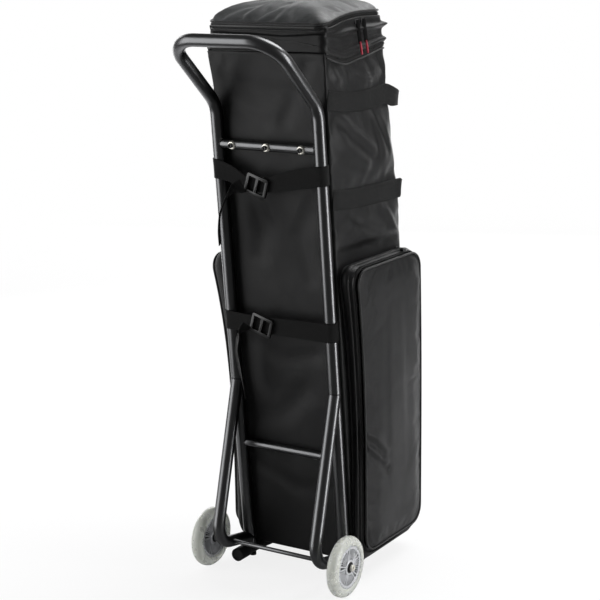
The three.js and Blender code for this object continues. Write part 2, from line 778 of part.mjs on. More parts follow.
function pocketSliderShape() {
  return box(slider.height, slider.length, slider.thickness, at(sliderX, sliderY, sliderZ + slider.thickness / 2));
}

function pocketPullShape() {
  const tab = pullShape(pocketSlider.pullLength, pull.width / 2).rotateY(Math.PI / 2);
  return tab.translate(sliderX + slider.height / 2, sliderY, sliderZ + pullOut);
}

for (const { name, sign } of bothSides) {
  const side = new THREE.Group();
  side.position.set(sign * bagHalfWidth, pocket.middleY, pocket.bottomZ);
  cart.add(side);
  const toSide = (geometry) => (sign < 0 ? mirrored(geometry) : geometry);
  add(side, `pocket_tray_${name}`, toSide(trayShape()), nylon);
  add(side, `pocket_cover_${name}`, toSide(coverShape()), nylon);
  add(side, `pocket_slider_${name}`, toSide(pocketSliderShape()), zinc);
  add(side, `pocket_pull_${name}`, toSide(pocketPullShape()), blackPlastic);
}

// Carry bands: webbing along both sides, loose across the front as a grab handle

function carryBand(rearZ, slack) {
  const out = bagHalfWidth + clothGap + band.thickness / 2;
  const slope = Math.tan(band.drop);
  const rearY = bagRearAt(rearZ);
  const frontY = bagFrontAt(rearZ - slope * bagDepthAt(rearZ)) + clothGap;
  const rightSide = [[out, rearY + band.rearStart], [out, frontY - bag.corner]];
  bandReachShares.forEach((share, k) => {
    rightSide.push([out * (1 - bandInsetShares[k]), frontY + share * slack]);
  });
  const leftSide = rightSide.map(([x, y]) => [-x, y]).reverse();
  const stations = [...rightSide, ...leftSide].map(([x, y]) => ({
    place: at(x, y, rearZ - slope * (y - rearY)),
    half: at(0, 0, band.width / 2),
  }));
  return ribbon(stations, band.thickness);
}

const pocketTopZ = pocket.bottomZ + pocket.height;
add(cart, 'carry_band_upper', carryBand(bag.rimZ - upperBand.belowRim, upperBand.slack), webbingBlack);
add(cart, 'carry_band_lower', carryBand(pocketTopZ + lowerBand.abovePocket, lowerBand.slack), webbingBlack);

// Frame straps: round the outside of both uprights, across their rear and through a buckle

function frameStrap({ z, buckleX, dip }) {
  const facetHalf = (strapWrap.step / 2) * degree;
  const around = (upright.radius + gap + webbing.thickness / 2) / Math.cos(facetHalf);
  const half = at(0, 0, webbing.width / 2);
  const sweep = (sign) => Array.from({ length: strapWrap.steps + 1 }, (_, k) => {
    const turn = (strapWrap.start + k * strapWrap.step) * degree;
    const x = sign * (upright.halfSpacing - around * Math.cos(turn));
    return { place: at(x, around * Math.sin(turn), z), half };
  });
  const [first, second] = sweep(-1);
  const tangent = first.place.clone().sub(second.place).normalize();
  const sewn = (sign, point) => {
    const place = point.clone().addScaledVector(tangent, webbing.sewnEnd);
    return { place: at(sign * Math.abs(place.x), place.y, z), half };
  };
  const middle = [-buckle.length / 2, buckle.length / 2].map((offset) => (
    { place: at(buckleX + offset, -around, z - dip), half }
  ));
  const stations = [
    sewn(-1, first.place), ...sweep(-1), ...middle, ...sweep(1).reverse(), sewn(1, first.place),
  ];
  return ribbon(stations, webbing.thickness);
}

const buckleFront = -(upright.radius + gap + webbing.thickness + 2 * clothGap);
const tailY = buckleFront - buckle.thickness - gap - webbing.thickness / 2;

function buckleShape() {
  const outline = roundedOutline(buckle.length, buckle.height, buckle.corner);
  const faceAt = (y) => outline.map(([x, z]) => at(x, y, z)).reverse();
  const plate = loft([faceAt(buckleFront - buckle.thickness), faceAt(buckleFront)]);
  const windowWidth = (buckle.length - 3 * buckle.bar) / 2;
  const windowHeight = buckle.height - 2 * buckle.bar;
  const windows = [-1, 1].map((sign) => box(
    windowWidth,
    buckle.thickness + 2 * overrun,
    windowHeight,
    at((sign * (windowWidth + buckle.bar)) / 2, buckleFront - buckle.thickness / 2, 0),
  ));
  return cut(plate, ...windows).rotateY(buckle.tilt);
}

function strapTail(strap, tail, shares) {
  const stations = shares.reach.map((share, k) => {
    const place = at(
      strap.buckleX - tail.beside - share * tail.reach,
      tailY - shares.standOff[k] * tail.standOff,
      strap.z - strap.dip - shares.drop[k] * tail.drop,
    );
    const down = k / (shares.reach.length - 1);
    const tilt = (1 - down) * tailTilt;
    const twist = shares.turn[k] * tail.turn;
    const flat = at(Math.cos(tilt), 0, Math.sin(tilt));
    const half = flat.multiplyScalar(webbing.width / 2).applyAxisAngle(at(0, 0, 1), -twist);
    return { place, half };
  });
  return ribbon(stations, webbing.thickness);
}

function addFrameStrap(name, strap, tail, tailShares) {
  add(mast, `frame_strap_${name}`, frameStrap(strap), webbingBlack);
  const buckleGeometry = buckleShape().translate(strap.buckleX, 0, strap.z - strap.dip);
  add(mast, `strap_buckle_${name}`, buckleGeometry, blackPlastic);
  add(mast, `strap_tail_${name}`, strapTail(strap, tail, tailShares), webbingBlack);
}

addFrameStrap('upper', upperStrap, upperTail, upperTailShares);
addFrameStrap('lower', lowerStrap, lowerTail, lowerTailShares);

// The origin goes to the middle of the footprint, on the floor.
cart.updateMatrixWorld(true);
const extent = new THREE.Box3().setFromObject(cart, true);
const origin = extent.getCenter(new THREE.Vector3());
cart.position.set(-origin.x, -origin.y, -extent.min.z);

export default cart;
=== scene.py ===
import math

import bmesh
import bpy
from mathutils import Matrix, Vector, noise
from mathutils.bvhtree import BVHTree


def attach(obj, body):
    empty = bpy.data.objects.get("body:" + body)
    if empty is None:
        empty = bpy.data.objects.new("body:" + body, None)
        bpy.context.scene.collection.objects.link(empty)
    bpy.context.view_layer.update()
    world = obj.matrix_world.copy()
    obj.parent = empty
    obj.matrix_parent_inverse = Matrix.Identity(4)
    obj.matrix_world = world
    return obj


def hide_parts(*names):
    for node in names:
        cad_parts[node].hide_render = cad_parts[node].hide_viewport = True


# Drum hardware cart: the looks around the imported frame. Metres, in the frame of the CAD.

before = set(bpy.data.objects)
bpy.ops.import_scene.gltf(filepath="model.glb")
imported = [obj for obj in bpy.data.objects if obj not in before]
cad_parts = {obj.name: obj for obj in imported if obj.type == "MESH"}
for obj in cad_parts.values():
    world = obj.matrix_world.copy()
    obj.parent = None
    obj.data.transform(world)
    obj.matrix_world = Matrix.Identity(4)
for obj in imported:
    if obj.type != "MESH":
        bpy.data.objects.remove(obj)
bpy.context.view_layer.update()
scene = bpy.context.scene
print("frame loaded")

# Camera, where the photograph was taken from

camera = {
    "place": (1.6733, -2.64497, 1.29889),
    "azimuth": 32.11,
    "elevation": 12.98,
    "roll": -0.60,
    "lens": 94.82,
}


def addCamera(c):
    azimuth, elevation, roll = (math.radians(c[k]) for k in ("azimuth", "elevation", "roll"))
    flat = math.cos(elevation)
    back = Vector((math.sin(azimuth) * flat, -math.cos(azimuth) * flat, math.sin(elevation)))
    level = Vector((math.cos(azimuth), math.sin(azimuth), 0))
    up = back.cross(level)
    right = level * math.cos(roll) + up * math.sin(roll)
    top = up * math.cos(roll) - level * math.sin(roll)
    data = bpy.data.cameras.new("camera")
    data.lens = c["lens"]
    data.sensor_width = 36
    data.clip_end = 200
    made = bpy.data.objects.new("camera", data)
    scene.collection.objects.link(made)
    made.matrix_world = Matrix.Translation(c["place"]) @ Matrix((right, top, back)).transposed().to_4x4()
    scene.camera = made


addCamera(camera)
scene.view_settings.view_transform = "Standard"

# Node helpers


def setSocket(tree, socket, value):
    if isinstance(value, bpy.types.NodeSocket):
        tree.links.new(value, socket)
    else:
        socket.default_value = value


# An input is given by its name, or by its number as i0, i1 and so on
def addNode(tree, kind, settings=None, **inputs):
    made = tree.nodes.new("ShaderNode" + kind)
    for key, value in (settings or {}).items():
        setattr(made, key, value)
    for key, value in inputs.items():
        numbered = key[0] == "i" and key[1:].isdigit()
        setSocket(tree, made.inputs[int(key[1:]) if numbered else key.replace("_", " ")], value)
    return made


def sums(tree, operation, a, b=None, c=None, clamp=False):
    values = {"i" + str(i): v for i, v in enumerate((a, b, c)) if v is not None}
    return addNode(tree, "Math", {"operation": operation, "use_clamp": clamp}, **values).outputs[0]


def newGroup(name, inputs, outputs):
    group = bpy.data.node_groups.new(name, "ShaderNodeTree")
    for key, kind, value in inputs:
        socket = group.interface.new_socket(key, in_out="INPUT", socket_type="NodeSocket" + kind)
        if value is not None:
            socket.default_value = value
    for key, kind in outputs:
        group.interface.new_socket(key, in_out="OUTPUT", socket_type="NodeSocket" + kind)
    return group, group.nodes.new("NodeGroupInput").outputs, group.nodes.new("NodeGroupOutput").inputs


def useGroup(tree, group, **inputs):
    made = tree.nodes.new("ShaderNodeGroup")
    made.node_tree = group
    for key, value in inputs.items():
        setSocket(tree, made.inputs[key], value)
    return made.outputs


def newMaterial(name, **inputs):
    made = bpy.data.materials.new(name)
    made.use_nodes = True
    tree = made.node_tree
    shader = tree.nodes["Principled BSDF"]
    for key, value in inputs.items():
        shader.inputs[key.replace("_", " ")].default_value = value
    return made, tree, shader.inputs


def mixColors(tree, share, a, b):
    made = addNode(tree, "Mix", {"data_type": "RGBA"})
    for k, value in ((0, share), (6, a), (7, b)):
        setSocket(tree, made.inputs[k], value)
    return made.outputs[2]


def grey(value, tint=(1, 1, 1)):
    return tuple(value * t for t in tint) + (1,)


def lightened(color, factor, lift=0.0):
    return tuple(min(1, c * factor + lift) for c in color[:3]) + (1,)


# Shared effects


def makeMottle():
    group, given, out = newGroup(
        "mottle",
        [
            ("Vector", "Vector", None), ("Scale", "Float", 20.0), ("Low", "Float", 0.0), ("High", "Float", 1.0),
        ],
        [("Value", "Float")],
    )
    coarse = addNode(
        group, "TexNoise", None, Vector=given["Vector"], Scale=given["Scale"], Detail=6.0, Roughness=0.6)
    spread = addNode(group, "MapRange", None, Value=coarse.outputs[0], From_Min=0.3, From_Max=0.7)
    group.links.new(given["Low"], spread.inputs["To Min"])
    group.links.new(given["High"], spread.inputs["To Max"])
    group.links.new(spread.outputs[0], out["Value"])
    return group


def makeWeave():
    group, given, out = newGroup(
        "plainWeave",
        [("Vector", "Vector", None), ("Pitch", "Float", 0.0009)],
        [("Height", "Float"), ("ThreadHighlight", "Float")],
    )
    turn = sums(group, "DIVIDE", math.pi, given["Pitch"])
    wander = addNode(group, "TexNoise", None, Vector=given["Vector"], Scale=90.0, Detail=2.0)
    axes = addNode(group, "SeparateXYZ", None, Vector=given["Vector"]).outputs
    shift = sums(group, "MULTIPLY", sums(group, "SUBTRACT", wander.outputs[0], 0.5), given["Pitch"])
    warp = sums(group, "SINE", sums(group, "MULTIPLY", sums(group, "ADD", axes[0], shift), turn))
    weft = sums(group, "SINE", sums(group, "MULTIPLY", sums(group, "SUBTRACT", axes[1], shift), turn))
    over = sums(group, "MULTIPLY_ADD", sums(group, "MULTIPLY", warp, weft), 0.5, 0.5)
    ridge = sums(group, "MULTIPLY", sums(group, "ABSOLUTE", warp), sums(group, "ABSOLUTE", weft))
    height = sums(group, "ADD", sums(group, "MULTIPLY", over, 0.6), sums(group, "MULTIPLY", ridge, 0.4))
    group.links.new(height, out["Height"])
    # the threads that lie on top are given out to be painted lighter, a painted highlight on the weave
    group.links.new(over, out["ThreadHighlight"])
    return group


def makeWebbing():
    group, given, out = newGroup(
        "webbingRibs",
        [("Vector", "Vector", None), ("Pitch", "Float", 0.0016)],
        [("Height", "Float"), ("Rib", "Float")],
    )
    axes = addNode(group, "SeparateXYZ", None, Vector=given["Vector"]).outputs
    turn = sums(group, "DIVIDE", math.pi, given["Pitch"])
    across = sums(group, "SINE", sums(group, "MULTIPLY", axes[0], turn))
    zigzag = sums(group, "ABSOLUTE", across)
    shifted = sums(group, "MULTIPLY_ADD", axes[1], turn, sums(group, "MULTIPLY", zigzag, 1.4))
    along = sums(group, "ABSOLUTE", sums(group, "SINE", shifted))
    height = sums(group, "MULTIPLY", along, sums(group, "MULTIPLY_ADD", zigzag, 0.6, 0.4))
    group.links.new(height, out["Height"])
    group.links.new(zigzag, out["Rib"])
    return group


def makeScuff():
    group, given, out = newGroup(
        "scuff",
        [("Vector", "Vector", None), ("Amount", "Float", 0.2)],
        [("Mask", "Float"), ("Height", "Float")],
    )
    streaks = addNode(group, "Mapping", None, Vector=given["Vector"], Scale=(140.0, 140.0, 22.0))
    fine = addNode(group, "TexNoise", None, Vector=streaks.outputs[0], Scale=1.0, Detail=5.0, Roughness=0.7)
    patches = addNode(group, "TexNoise", None, Vector=given["Vector"], Scale=14.0, Detail=3.0)
    worn = sums(group, "MULTIPLY", fine.outputs[0], patches.outputs[0])
    spread = addNode(group, "MapRange", None, Value=worn, From_Min=0.3, From_Max=0.5)
    group.links.new(sums(group, "MULTIPLY", spread.outputs[0], given["Amount"]), out["Mask"])
    peel = addNode(group, "TexNoise", None, Vector=given["Vector"], Scale=900.0, Detail=2.0)
    group.links.new(peel.outputs[0], out["Height"])
    return group


mottle, plainWeave, webbingRibs, scuff = makeMottle(), makeWeave(), makeWebbing(), makeScuff()


def bumpInto(tree, inputs, height, strength, distance):
    bump = addNode(tree, "Bump", None, Height=height, Strength=strength, Distance=distance)
    tree.links.new(bump.outputs[0], inputs["Normal"])


# Materials


def objectPlace(tree):
    return addNode(tree, "TexCoord").outputs["Object"]


def ownMap(tree):
    return addNode(tree, "UVMap", {"uv_map": "cut"}).outputs[0]


def makeMetal(name, color, roughness, wear, metallic=1.0, peel=0.02, **fixed):
    made, tree, inputs = newMaterial(name, Metallic=metallic, **fixed)
    place = objectPlace(tree)
    marks = useGroup(tree, scuff, Vector=place, Amount=wear)
    cloudy = useGroup(
        tree, mottle, Vector=place, Scale=35.0, Low=roughness * 0.93, High=roughness * 1.08)
    worn = mixColors(tree, marks["Mask"], color, lightened(color, 1.8, 0.02))
    tree.links.new(worn, inputs["Base Color"])
    tree.links.new(sums(tree, "MULTIPLY_ADD", marks["Mask"], 0.05, cloudy["Value"]), inputs["Roughness"])
    bumpInto(tree, inputs, marks["Height"], peel, 0.0001)
    return made


def makeCloth(name, color, pitch, sheen, roughness, gloss=0.22):
    made, tree, inputs = newMaterial(
        name, Sheen_Weight=sheen, Sheen_Roughness=0.4, Specular_IOR_Level=gloss)
    cut = ownMap(tree)
    weave = useGroup(tree, plainWeave, Vector=cut, Pitch=pitch)
    patches = useGroup(tree, mottle, Vector=objectPlace(tree), Scale=7.0, Low=0.75, High=1.25)
    # the threads on top are painted lighter: a painted highlight on the weave
    threadLit = mixColors(tree, weave["ThreadHighlight"], color, lightened(color, 1.7))
    toned = addNode(tree, "VectorMath", {"operation": "SCALE"}, i0=threadLit, Scale=patches["Value"])
    tree.links.new(toned.outputs[0], inputs["Base Color"])
    tree.links.new(sums(tree, "MULTIPLY", patches["Value"], roughness), inputs["Roughness"])
    bumpInto(tree, inputs, weave["Height"], 0.5, 0.0004)
    return made


def makeStrap(name, color):
    made, tree, inputs = newMaterial(
        name, Sheen_Weight=0.02, Sheen_Roughness=0.4, Specular_IOR_Level=0.14)
    ribs = useGroup(tree, webbingRibs, Vector=ownMap(tree), Pitch=0.0016)
    fuzz = useGroup(tree, mottle, Vector=objectPlace(tree), Scale=120.0, Low=0.0, High=0.5)
    # the tops of the ribs are painted lighter, a painted highlight, and random fuzz varies the tone besides
    lit = sums(tree, "MULTIPLY_ADD", ribs["Height"], 0.6, fuzz["Value"], clamp=True)
    tree.links.new(mixColors(tree, lit, color, lightened(color, 2.2)), inputs["Base Color"])
    tree.links.new(sums(tree, "MULTIPLY_ADD", fuzz["Value"], 0.3, 0.55), inputs["Roughness"])
    bumpInto(tree, inputs, ribs["Height"], 0.7, 0.0005)
    return made


def makePlastic(name, color, roughness, grain=0.15, **fixed):
    made, tree, inputs = newMaterial(name, **fixed)
    place = objectPlace(tree)
    marks = useGroup(tree, scuff, Vector=place, Amount=0.3)
    worn = mixColors(tree, marks["Mask"], color, lightened(color, 1.6, 0.01))
    tree.links.new(worn, inputs["Base Color"])
    tree.links.new(sums(tree, "MULTIPLY_ADD", marks["Mask"], 0.3, roughness), inputs["Roughness"])
    bumpInto(tree, inputs, marks["Height"], grain, 0.0003)
    return made


def makeClearTyre(name):
    made, tree, inputs = newMaterial(
        name, Transmission_Weight=0.35, IOR=1.45, Subsurface_Weight=0.25, Subsurface_Scale=0.01,
        Subsurface_Radius=(1.0, 1.0, 0.8),
    )
    place = objectPlace(tree)
    cloudy = useGroup(tree, mottle, Vector=place, Scale=60.0, Low=0.0, High=1.0)
    milky = mixColors(tree, cloudy["Value"], (0.74, 0.75, 0.71, 1), (0.66, 0.68, 0.63, 1))
    tree.links.new(milky, inputs["Base Color"])
    tree.links.new(sums(tree, "MULTIPLY_ADD", cloudy["Value"], 0.15, 0.22), inputs["Roughness"])
    return made


gunmetal = makeMetal("gunmetal", (0.120, 0.121, 0.124, 1), 0.33, 0.03, peel=0.004)
blackSteel = makeMetal("blackSteel", (0.012, 0.012, 0.013, 1), 0.42, 0.12, metallic=0.3, peel=0.2)
weldMetal = makeMetal("weldMetal", (0.05, 0.05, 0.052, 1), 0.42, 0.2, peel=0.5)
nickel = makeMetal("nickel", (0.74, 0.72, 0.65, 1), 0.36, 0.1, metallic=0.6)
zinc = makeMetal("zinc", (0.36, 0.37, 0.39, 1), 0.30, 0.3)
hubSilver = makeMetal("hubSilver", (0.66, 0.67, 0.69, 1), 0.38, 0.1, metallic=0.35)
clearTyre = makeClearTyre("clearTyre")
rubber = makePlastic("rubber", grey(0.012), 0.75, 0.3)
nylonGrey = grey(0.0055, (1, 1, 1.03))
nylonCloth = makeCloth("nylonCloth", nylonGrey, 0.0009, 0.02, 0.42, gloss=0.2)
# The lid's nylon is the bag's nylon given a lighter, bluish grey: painted light on the lid's top, which faces
# the overhead lamp.
litLidGrey = grey(0.024, (0.95, 1.02, 1.05))
litLidCloth = makeCloth("litLidCloth", litLidGrey, 0.0009, 0.14, 0.5, gloss=0.5)
liningCloth = makeCloth("liningCloth", grey(0.014), 0.0006, 0.05, 0.7)
tapeCloth = makeCloth("tapeCloth", grey(0.008), 0.0006, 0.03, 0.6)
strapBlack = makeStrap("strapBlack", grey(0.0035))
blackPlastic = makePlastic("blackPlastic", grey(0.009), 0.36)
redCord = makePlastic("redCord", (0.34, 0.010, 0.03, 1), 0.5)
pipingCloth = makeCloth("pipingCloth", grey(0.016), 0.0008, 0.05, 0.36)
zipTeeth = makePlastic("zipTeeth", grey(0.012), 0.35)
stitchThread = makePlastic("stitchThread", grey(0.016), 0.6)
print("materials made")

# Light, floor and background

studio = {
    "lamps": [
        # place, size, power
        ((2.9, 0.7, 0.5), (0.9, 3.0), 86),
        ((-2.15, -2.25, 0.9), (2.4, 3.6), 92),
        ((0.6, 1.3, 3.1), (1.9, 1.9), 84),
        ((-2.5, 1.0, 0.9), (1.0, 3.0), 32),
        ((-1.4, 3.4, 1.2), (4.5, 3.0), 92),
    ],
    "world": 0.15,
    "glossy": 0.1,
    "floorSize": 9.0,
    "floorWhite": 0.84,
    # how far from the middle the floor fades out, and from which place on it shows in reflections
    "fade": (1.2, 4.5),
    "mirrored": ((-0.9, 1.5, 0.0), 1.4, 2.2),
}


def addLamp(name, place, size, power, aim=(0, 0, 0.6)):
    data = bpy.data.lights.new(name, "AREA")
    data.shape = "RECTANGLE"
    data.size, data.size_y = size
    data.energy = power
    made = bpy.data.objects.new(name, data)
    scene.collection.objects.link(made)
    away = Vector(place) - Vector(aim)
    made.matrix_world = Matrix.Translation(place) @ away.to_track_quat("Z", "Y").to_matrix().to_4x4()


def seenDirectly(tree):
    rays = addNode(tree, "LightPath").outputs
    return sums(tree, "MAXIMUM", rays["Is Camera Ray"], rays["Is Transmission Ray"]), rays["Is Glossy Ray"]


def addStudio(s):
    for k, (place, size, power) in enumerate(s["lamps"]):
        addLamp("lamp_" + str(k), place, size, power)
    world = bpy.data.worlds.new("white")
    scene.world = world
    world.use_nodes = True
    tree = world.node_tree
    direct, glossy = seenDirectly(tree)
    unseen = addNode(tree, "MapRange", None, Value=glossy, To_Min=s["world"], To_Max=s["glossy"])
    strength = addNode(tree, "MapRange", None, Value=direct, To_Min=unseen.outputs[0], To_Max=1.0)
    background = tree.nodes["Background"]
    background.inputs["Color"].default_value = (1, 1, 1, 1)
    tree.links.new(strength.outputs[0], background.inputs["Strength"])

    bm = bmesh.new()
    bmesh.ops.create_circle(bm, cap_ends=True, segments=64, radius=s["floorSize"])
    mesh = bpy.data.meshes.new("floor")
    bm.to_mesh(mesh)
    bm.free()
    floor = bpy.data.objects.new("floor", mesh)
    scene.collection.objects.link(floor)
    material = bpy.data.materials.new("paleFloor")
    material.use_nodes = True
    tree = material.node_tree
    tree.nodes.clear()
    lit = addNode(tree, "BsdfDiffuse", None, Color=(0.86, 0.86, 0.87, 1))
    white = addNode(tree, "Emission", None, Color=(1, 1, 1, 1), Strength=1.0)
    direct, glossy = seenDirectly(tree)
    seen = sums(tree, "MULTIPLY", direct, s["floorWhite"])
    surface = addNode(tree, "MixShader", None, i0=seen, i1=lit.outputs[0], i2=white.outputs[0])

    def fading(centre, start, end):
        away = addNode(tree, "VectorMath", {"operation": "DISTANCE"}, i0=objectPlace(tree), i1=centre)
        soft = {"interpolation_type": "SMOOTHSTEP"}
        return addNode(tree, "MapRange", soft, Value=away.outputs[1], From_Min=start, From_Max=end).outputs[0]

    seenFade, mirroredFade = fading((0, 0, 0), *s["fade"]), fading(*s["mirrored"])
    fade = addNode(tree, "Mix", None, i0=glossy, i2=seenFade, i3=mirroredFade).outputs[0]
    clear = addNode(tree, "BsdfTransparent").outputs[0]
    blended = addNode(tree, "MixShader", None, i0=fade, i1=surface.outputs[0], i2=clear)
    output = tree.nodes.new("ShaderNodeOutputMaterial")
    tree.links.new(blended.outputs[0], output.inputs[0])
    mesh.materials.append(material)


addStudio(studio)
print("studio made")

# Mesh helpers


def finishPiece(name, bm, materials, body, smooth=35, replaced=()):
    bmesh.ops.recalc_face_normals(bm, faces=bm.faces)
    mesh = bpy.data.meshes.new(name)
    bm.to_mesh(mesh)
    bm.free()
    for material in materials:
        mesh.materials.append(material)
    mesh.shade_smooth()
    if smooth is not None:
        mesh.set_sharp_from_angle(angle=math.radians(smooth))
    made = bpy.data.objects.new(name, mesh)
    scene.collection.objects.link(made)
    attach(made, body)
    if replaced:
        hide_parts(*replaced)
    return made


def circleSection(radius, sides):
    turns = [2 * math.pi * k / sides for k in range(sides)]
    return [(radius * math.cos(turn), radius * math.sin(turn)) for turn in turns]


# Extrudes a section through stations, each a matrix that places the section. The vertices keep how
# far round and along they are, in metres, for the cut map.
def sweep(bm, section, stations, closed=True, caps=False):
    around = bm.verts.layers.float.get("around") or bm.verts.layers.float.new("around")
    along = bm.verts.layers.float.get("along") or bm.verts.layers.float.new("along")
    points = [Vector((x, y, 0)) for x, y in section]
    ring = [bm.verts.new(stations[0] @ p) for p in points]
    walked = 0
    for i, vert in enumerate(ring):
        if i:
            walked += (points[i] - points[i - 1]).length
        vert[around] = walked
        vert[along] = 0
    pairs = list(zip(ring, ring[1:] + ring[:1])) if closed else list(zip(ring, ring[1:]))
    edges = [bm.edges.new(pair) for pair in pairs]
    first = list(edges)
    faces = []
    travelled = 0
    for before, station in zip(stations, stations[1:]):
        made = bmesh.ops.extrude_edge_only(bm, edges=edges)["geom"]
        ring = [g for g in made if isinstance(g, bmesh.types.BMVert)]
        faces += [g for g in made if isinstance(g, bmesh.types.BMFace)]
        fresh = set(ring)
        edges = [g for g in made if isinstance(g, bmesh.types.BMEdge) and fresh.issuperset(g.verts)]
        bmesh.ops.transform(bm, matrix=station @ before.inverted(), verts=ring)
        travelled += (station.translation - before.translation).length
        for vert in ring:
            vert[along] = travelled
    if caps:
        for loop in (first, edges):
            faces += bmesh.ops.edgeloop_fill(bm, edges=loop)["faces"]
    return faces


def mapCut(bm):
    around, along = bm.verts.layers.float["around"], bm.verts.layers.float["along"]
    cut = bm.loops.layers.uv.get("cut") or bm.loops.layers.uv.new("cut")
    for face in bm.faces:
        for loop in face.loops:
            loop[cut].uv = (loop.vert[around], loop.vert[along])


def addBevel(made, width, angle):
    bevel = made.modifiers.new("edge", "BEVEL")
    bevel.width = width
    bevel.segments = 2
    bevel.limit_method = "ANGLE"
    bevel.angle_limit = math.radians(angle)
    return bevel


def turnMatrix(place, heading, side):
    side = (side - heading * side.dot(heading)).normalized()
    return Matrix.Translation(place) @ Matrix((side, heading.cross(side), heading)).transposed().to_4x4()


# Straight runs joined by round bends, as places with headings
def bentPath(corners, radii, step=math.radians(5)):
    corners = [Vector(c) for c in corners]
    stations = [(corners[0], (corners[1] - corners[0]).normalized())]
    for before, corner, after, radius in zip(corners, corners[1:], corners[2:], radii):
        heading, following = (corner - before).normalized(), (after - corner).normalized()
        turn = heading.angle(following)
        axis = heading.cross(following).normalized()
        start = corner - heading * radius * math.tan(turn / 2)
        centre = start + axis.cross(heading) * radius
        count = max(2, math.ceil(turn / step))
        for k in range(count + 1):
            turned = Matrix.Rotation(turn * k / count, 3, axis)
            stations.append((centre + turned @ (start - centre), turned @ heading))
    stations.append((corners[-1], (corners[-1] - corners[-2]).normalized()))
    return stations


# Splits long straight runs, so that a piece has even quads, and carries one side vector along
def pathMatrices(path, side, longest=0.03):
    matrices = []
    side = Vector(side)
    for (place, heading), (nextPlace, nextHeading) in zip(path, path[1:] + path[-1:]):
        side = (side - heading * side.dot(heading)).normalized()
        matrices.append(turnMatrix(place, heading, side))
        run = (nextPlace - place).length
        if run > longest * 1.5 and heading.dot(nextHeading) > 0.9999:
            count = math.ceil(run / longest)
            for k in range(1, count):
                matrices.append(turnMatrix(place.lerp(nextPlace, k / count), heading, side))
    return matrices


# Frame tubes

upright = {"lean": math.radians(5.62), "footY": 0.000841, "halfSpacing": 0.1175, "radius": 0.0125}
mast = Matrix.Translation((0, upright["footY"], 0)) @ Matrix.Rotation(upright["lean"], 4, "X")
mastTurn = mast.to_3x3()
mastUp = mastTurn @ Vector((0, 0, 1))
handle = {"shoulderZ": 0.985, "back": 0.136, "rise": 0.147, "bend": 0.06}
toe = {
    "radius": 0.0125, "z": 0.0195, "rearY": -0.049659, "waistY": 0.015341, "frontY": 0.245341,
    "frontHalf": 0.082, "waistBend": 0.2, "cornerBend": 0.05,
}
leg = {"radius": 0.0125, "top": (-0.041659, 0.397), "knee": (-0.127659, 0.069), "footZ": 0.046, "bend": 0.045}
crossbars = {"upper": {"z": 0.905, "radius": 0.0095}, "lower": {"z": 0.2665, "radius": 0.008}}
tubeSides = 40


def uprightY(z):
    return upright["footY"] - math.tan(upright["lean"]) * z


# A place in the plane of the uprights
def onMast(x, y, z):
    return mast @ Vector((x, y, z))


def tubeAlong(path, radius, side):
    bm = bmesh.new()
    sweep(bm, circleSection(radius, tubeSides), pathMatrices(path, side), caps=True)
    return bm


def addMainTube():
    x, z = upright["halfSpacing"], handle["shoulderZ"]
    back, top = -handle["back"], z + handle["rise"]
    half = [(x, back, top), (x, 0, z), (x, 0, toe["z"])]
    corners = [(-a, b, c) for a, b, c in reversed(half)] + half
    path = [(mast @ p, mastTurn @ h) for p, h in bentPath(corners, [handle["bend"]] * 4)]
    bm = tubeAlong(path, upright["radius"], (0, 1, 0))
    finishPiece("handle_and_uprights", bm, [gunmetal], "cart", replaced=["main_frame_tube"])


# A bead round the end of a tube that runs into an upright: each ray of its skin is cut with the upright
def weldBead(bm, start, heading, radius, host, bead):
    side = heading.orthogonal().normalized()
    other = heading.cross(side)
    points = []
    steps = 48
    for k in range(steps + 1):
        angle = 2 * math.pi * k / steps
        ray = start + (side * math.cos(angle) + other * math.sin(angle)) * radius * 0.999
        across = heading - mastUp * heading.dot(mastUp)
        offset = (ray - host) - mastUp * (ray - host).dot(mastUp)
        a, b = across.dot(across), 2 * across.dot(offset)
        inside = max(0, b * b - 4 * a * (offset.dot(offset) - upright["radius"] ** 2))
        points.append(ray + heading * ((-b - math.sqrt(inside)) / (2 * a)))
    stations = []
    for k, point in enumerate(points):
        ahead = (points[(k + 1) % steps] - points[k - 1 if k else steps - 1]).normalized()
        swell = 1 + 0.28 * math.sin(k * 2.1) + 0.2 * noise.noise(point * 400)
        placed = turnMatrix(point, ahead, mastUp + heading * 0.3)
        stations.append(placed @ Matrix.Diagonal((swell, swell, 1, 1)))
    sweep(bm, circleSection(bead, 8), stations)


def addCrossbars():
    beads = bmesh.new()
    across, x = Vector((1, 0, 0)), upright["halfSpacing"]
    for name, bar in crossbars.items():
        ends = [(onMast(sign * (x - 0.004), 0, bar["z"]), across) for sign in (-1, 1)]
        bm = tubeAlong(ends, bar["radius"], (0, 0, 1))
        node = name + "_crossbar"
        finishPiece(node + "_tube", bm, [gunmetal], "cart", replaced=[node])
        for sign in (-1, 1):
            middle, host = onMast(0, 0, bar["z"]), onMast(sign * x, 0, bar["z"])
            weldBead(beads, middle, across * sign, bar["radius"], host, 0.0013)
    for sign in (-1, 1):
        weldBead(beads, *legLine(sign), leg["radius"], onMast(sign * x, 0, 0.3), 0.0011)
    finishPiece("weld_beads", beads, [weldMetal], "cart")


def legLine(sign):
    x = sign * upright["halfSpacing"]
    knee, top = Vector((x, *leg["knee"])), Vector((x, *leg["top"]))
    return knee, (top - knee).normalized()


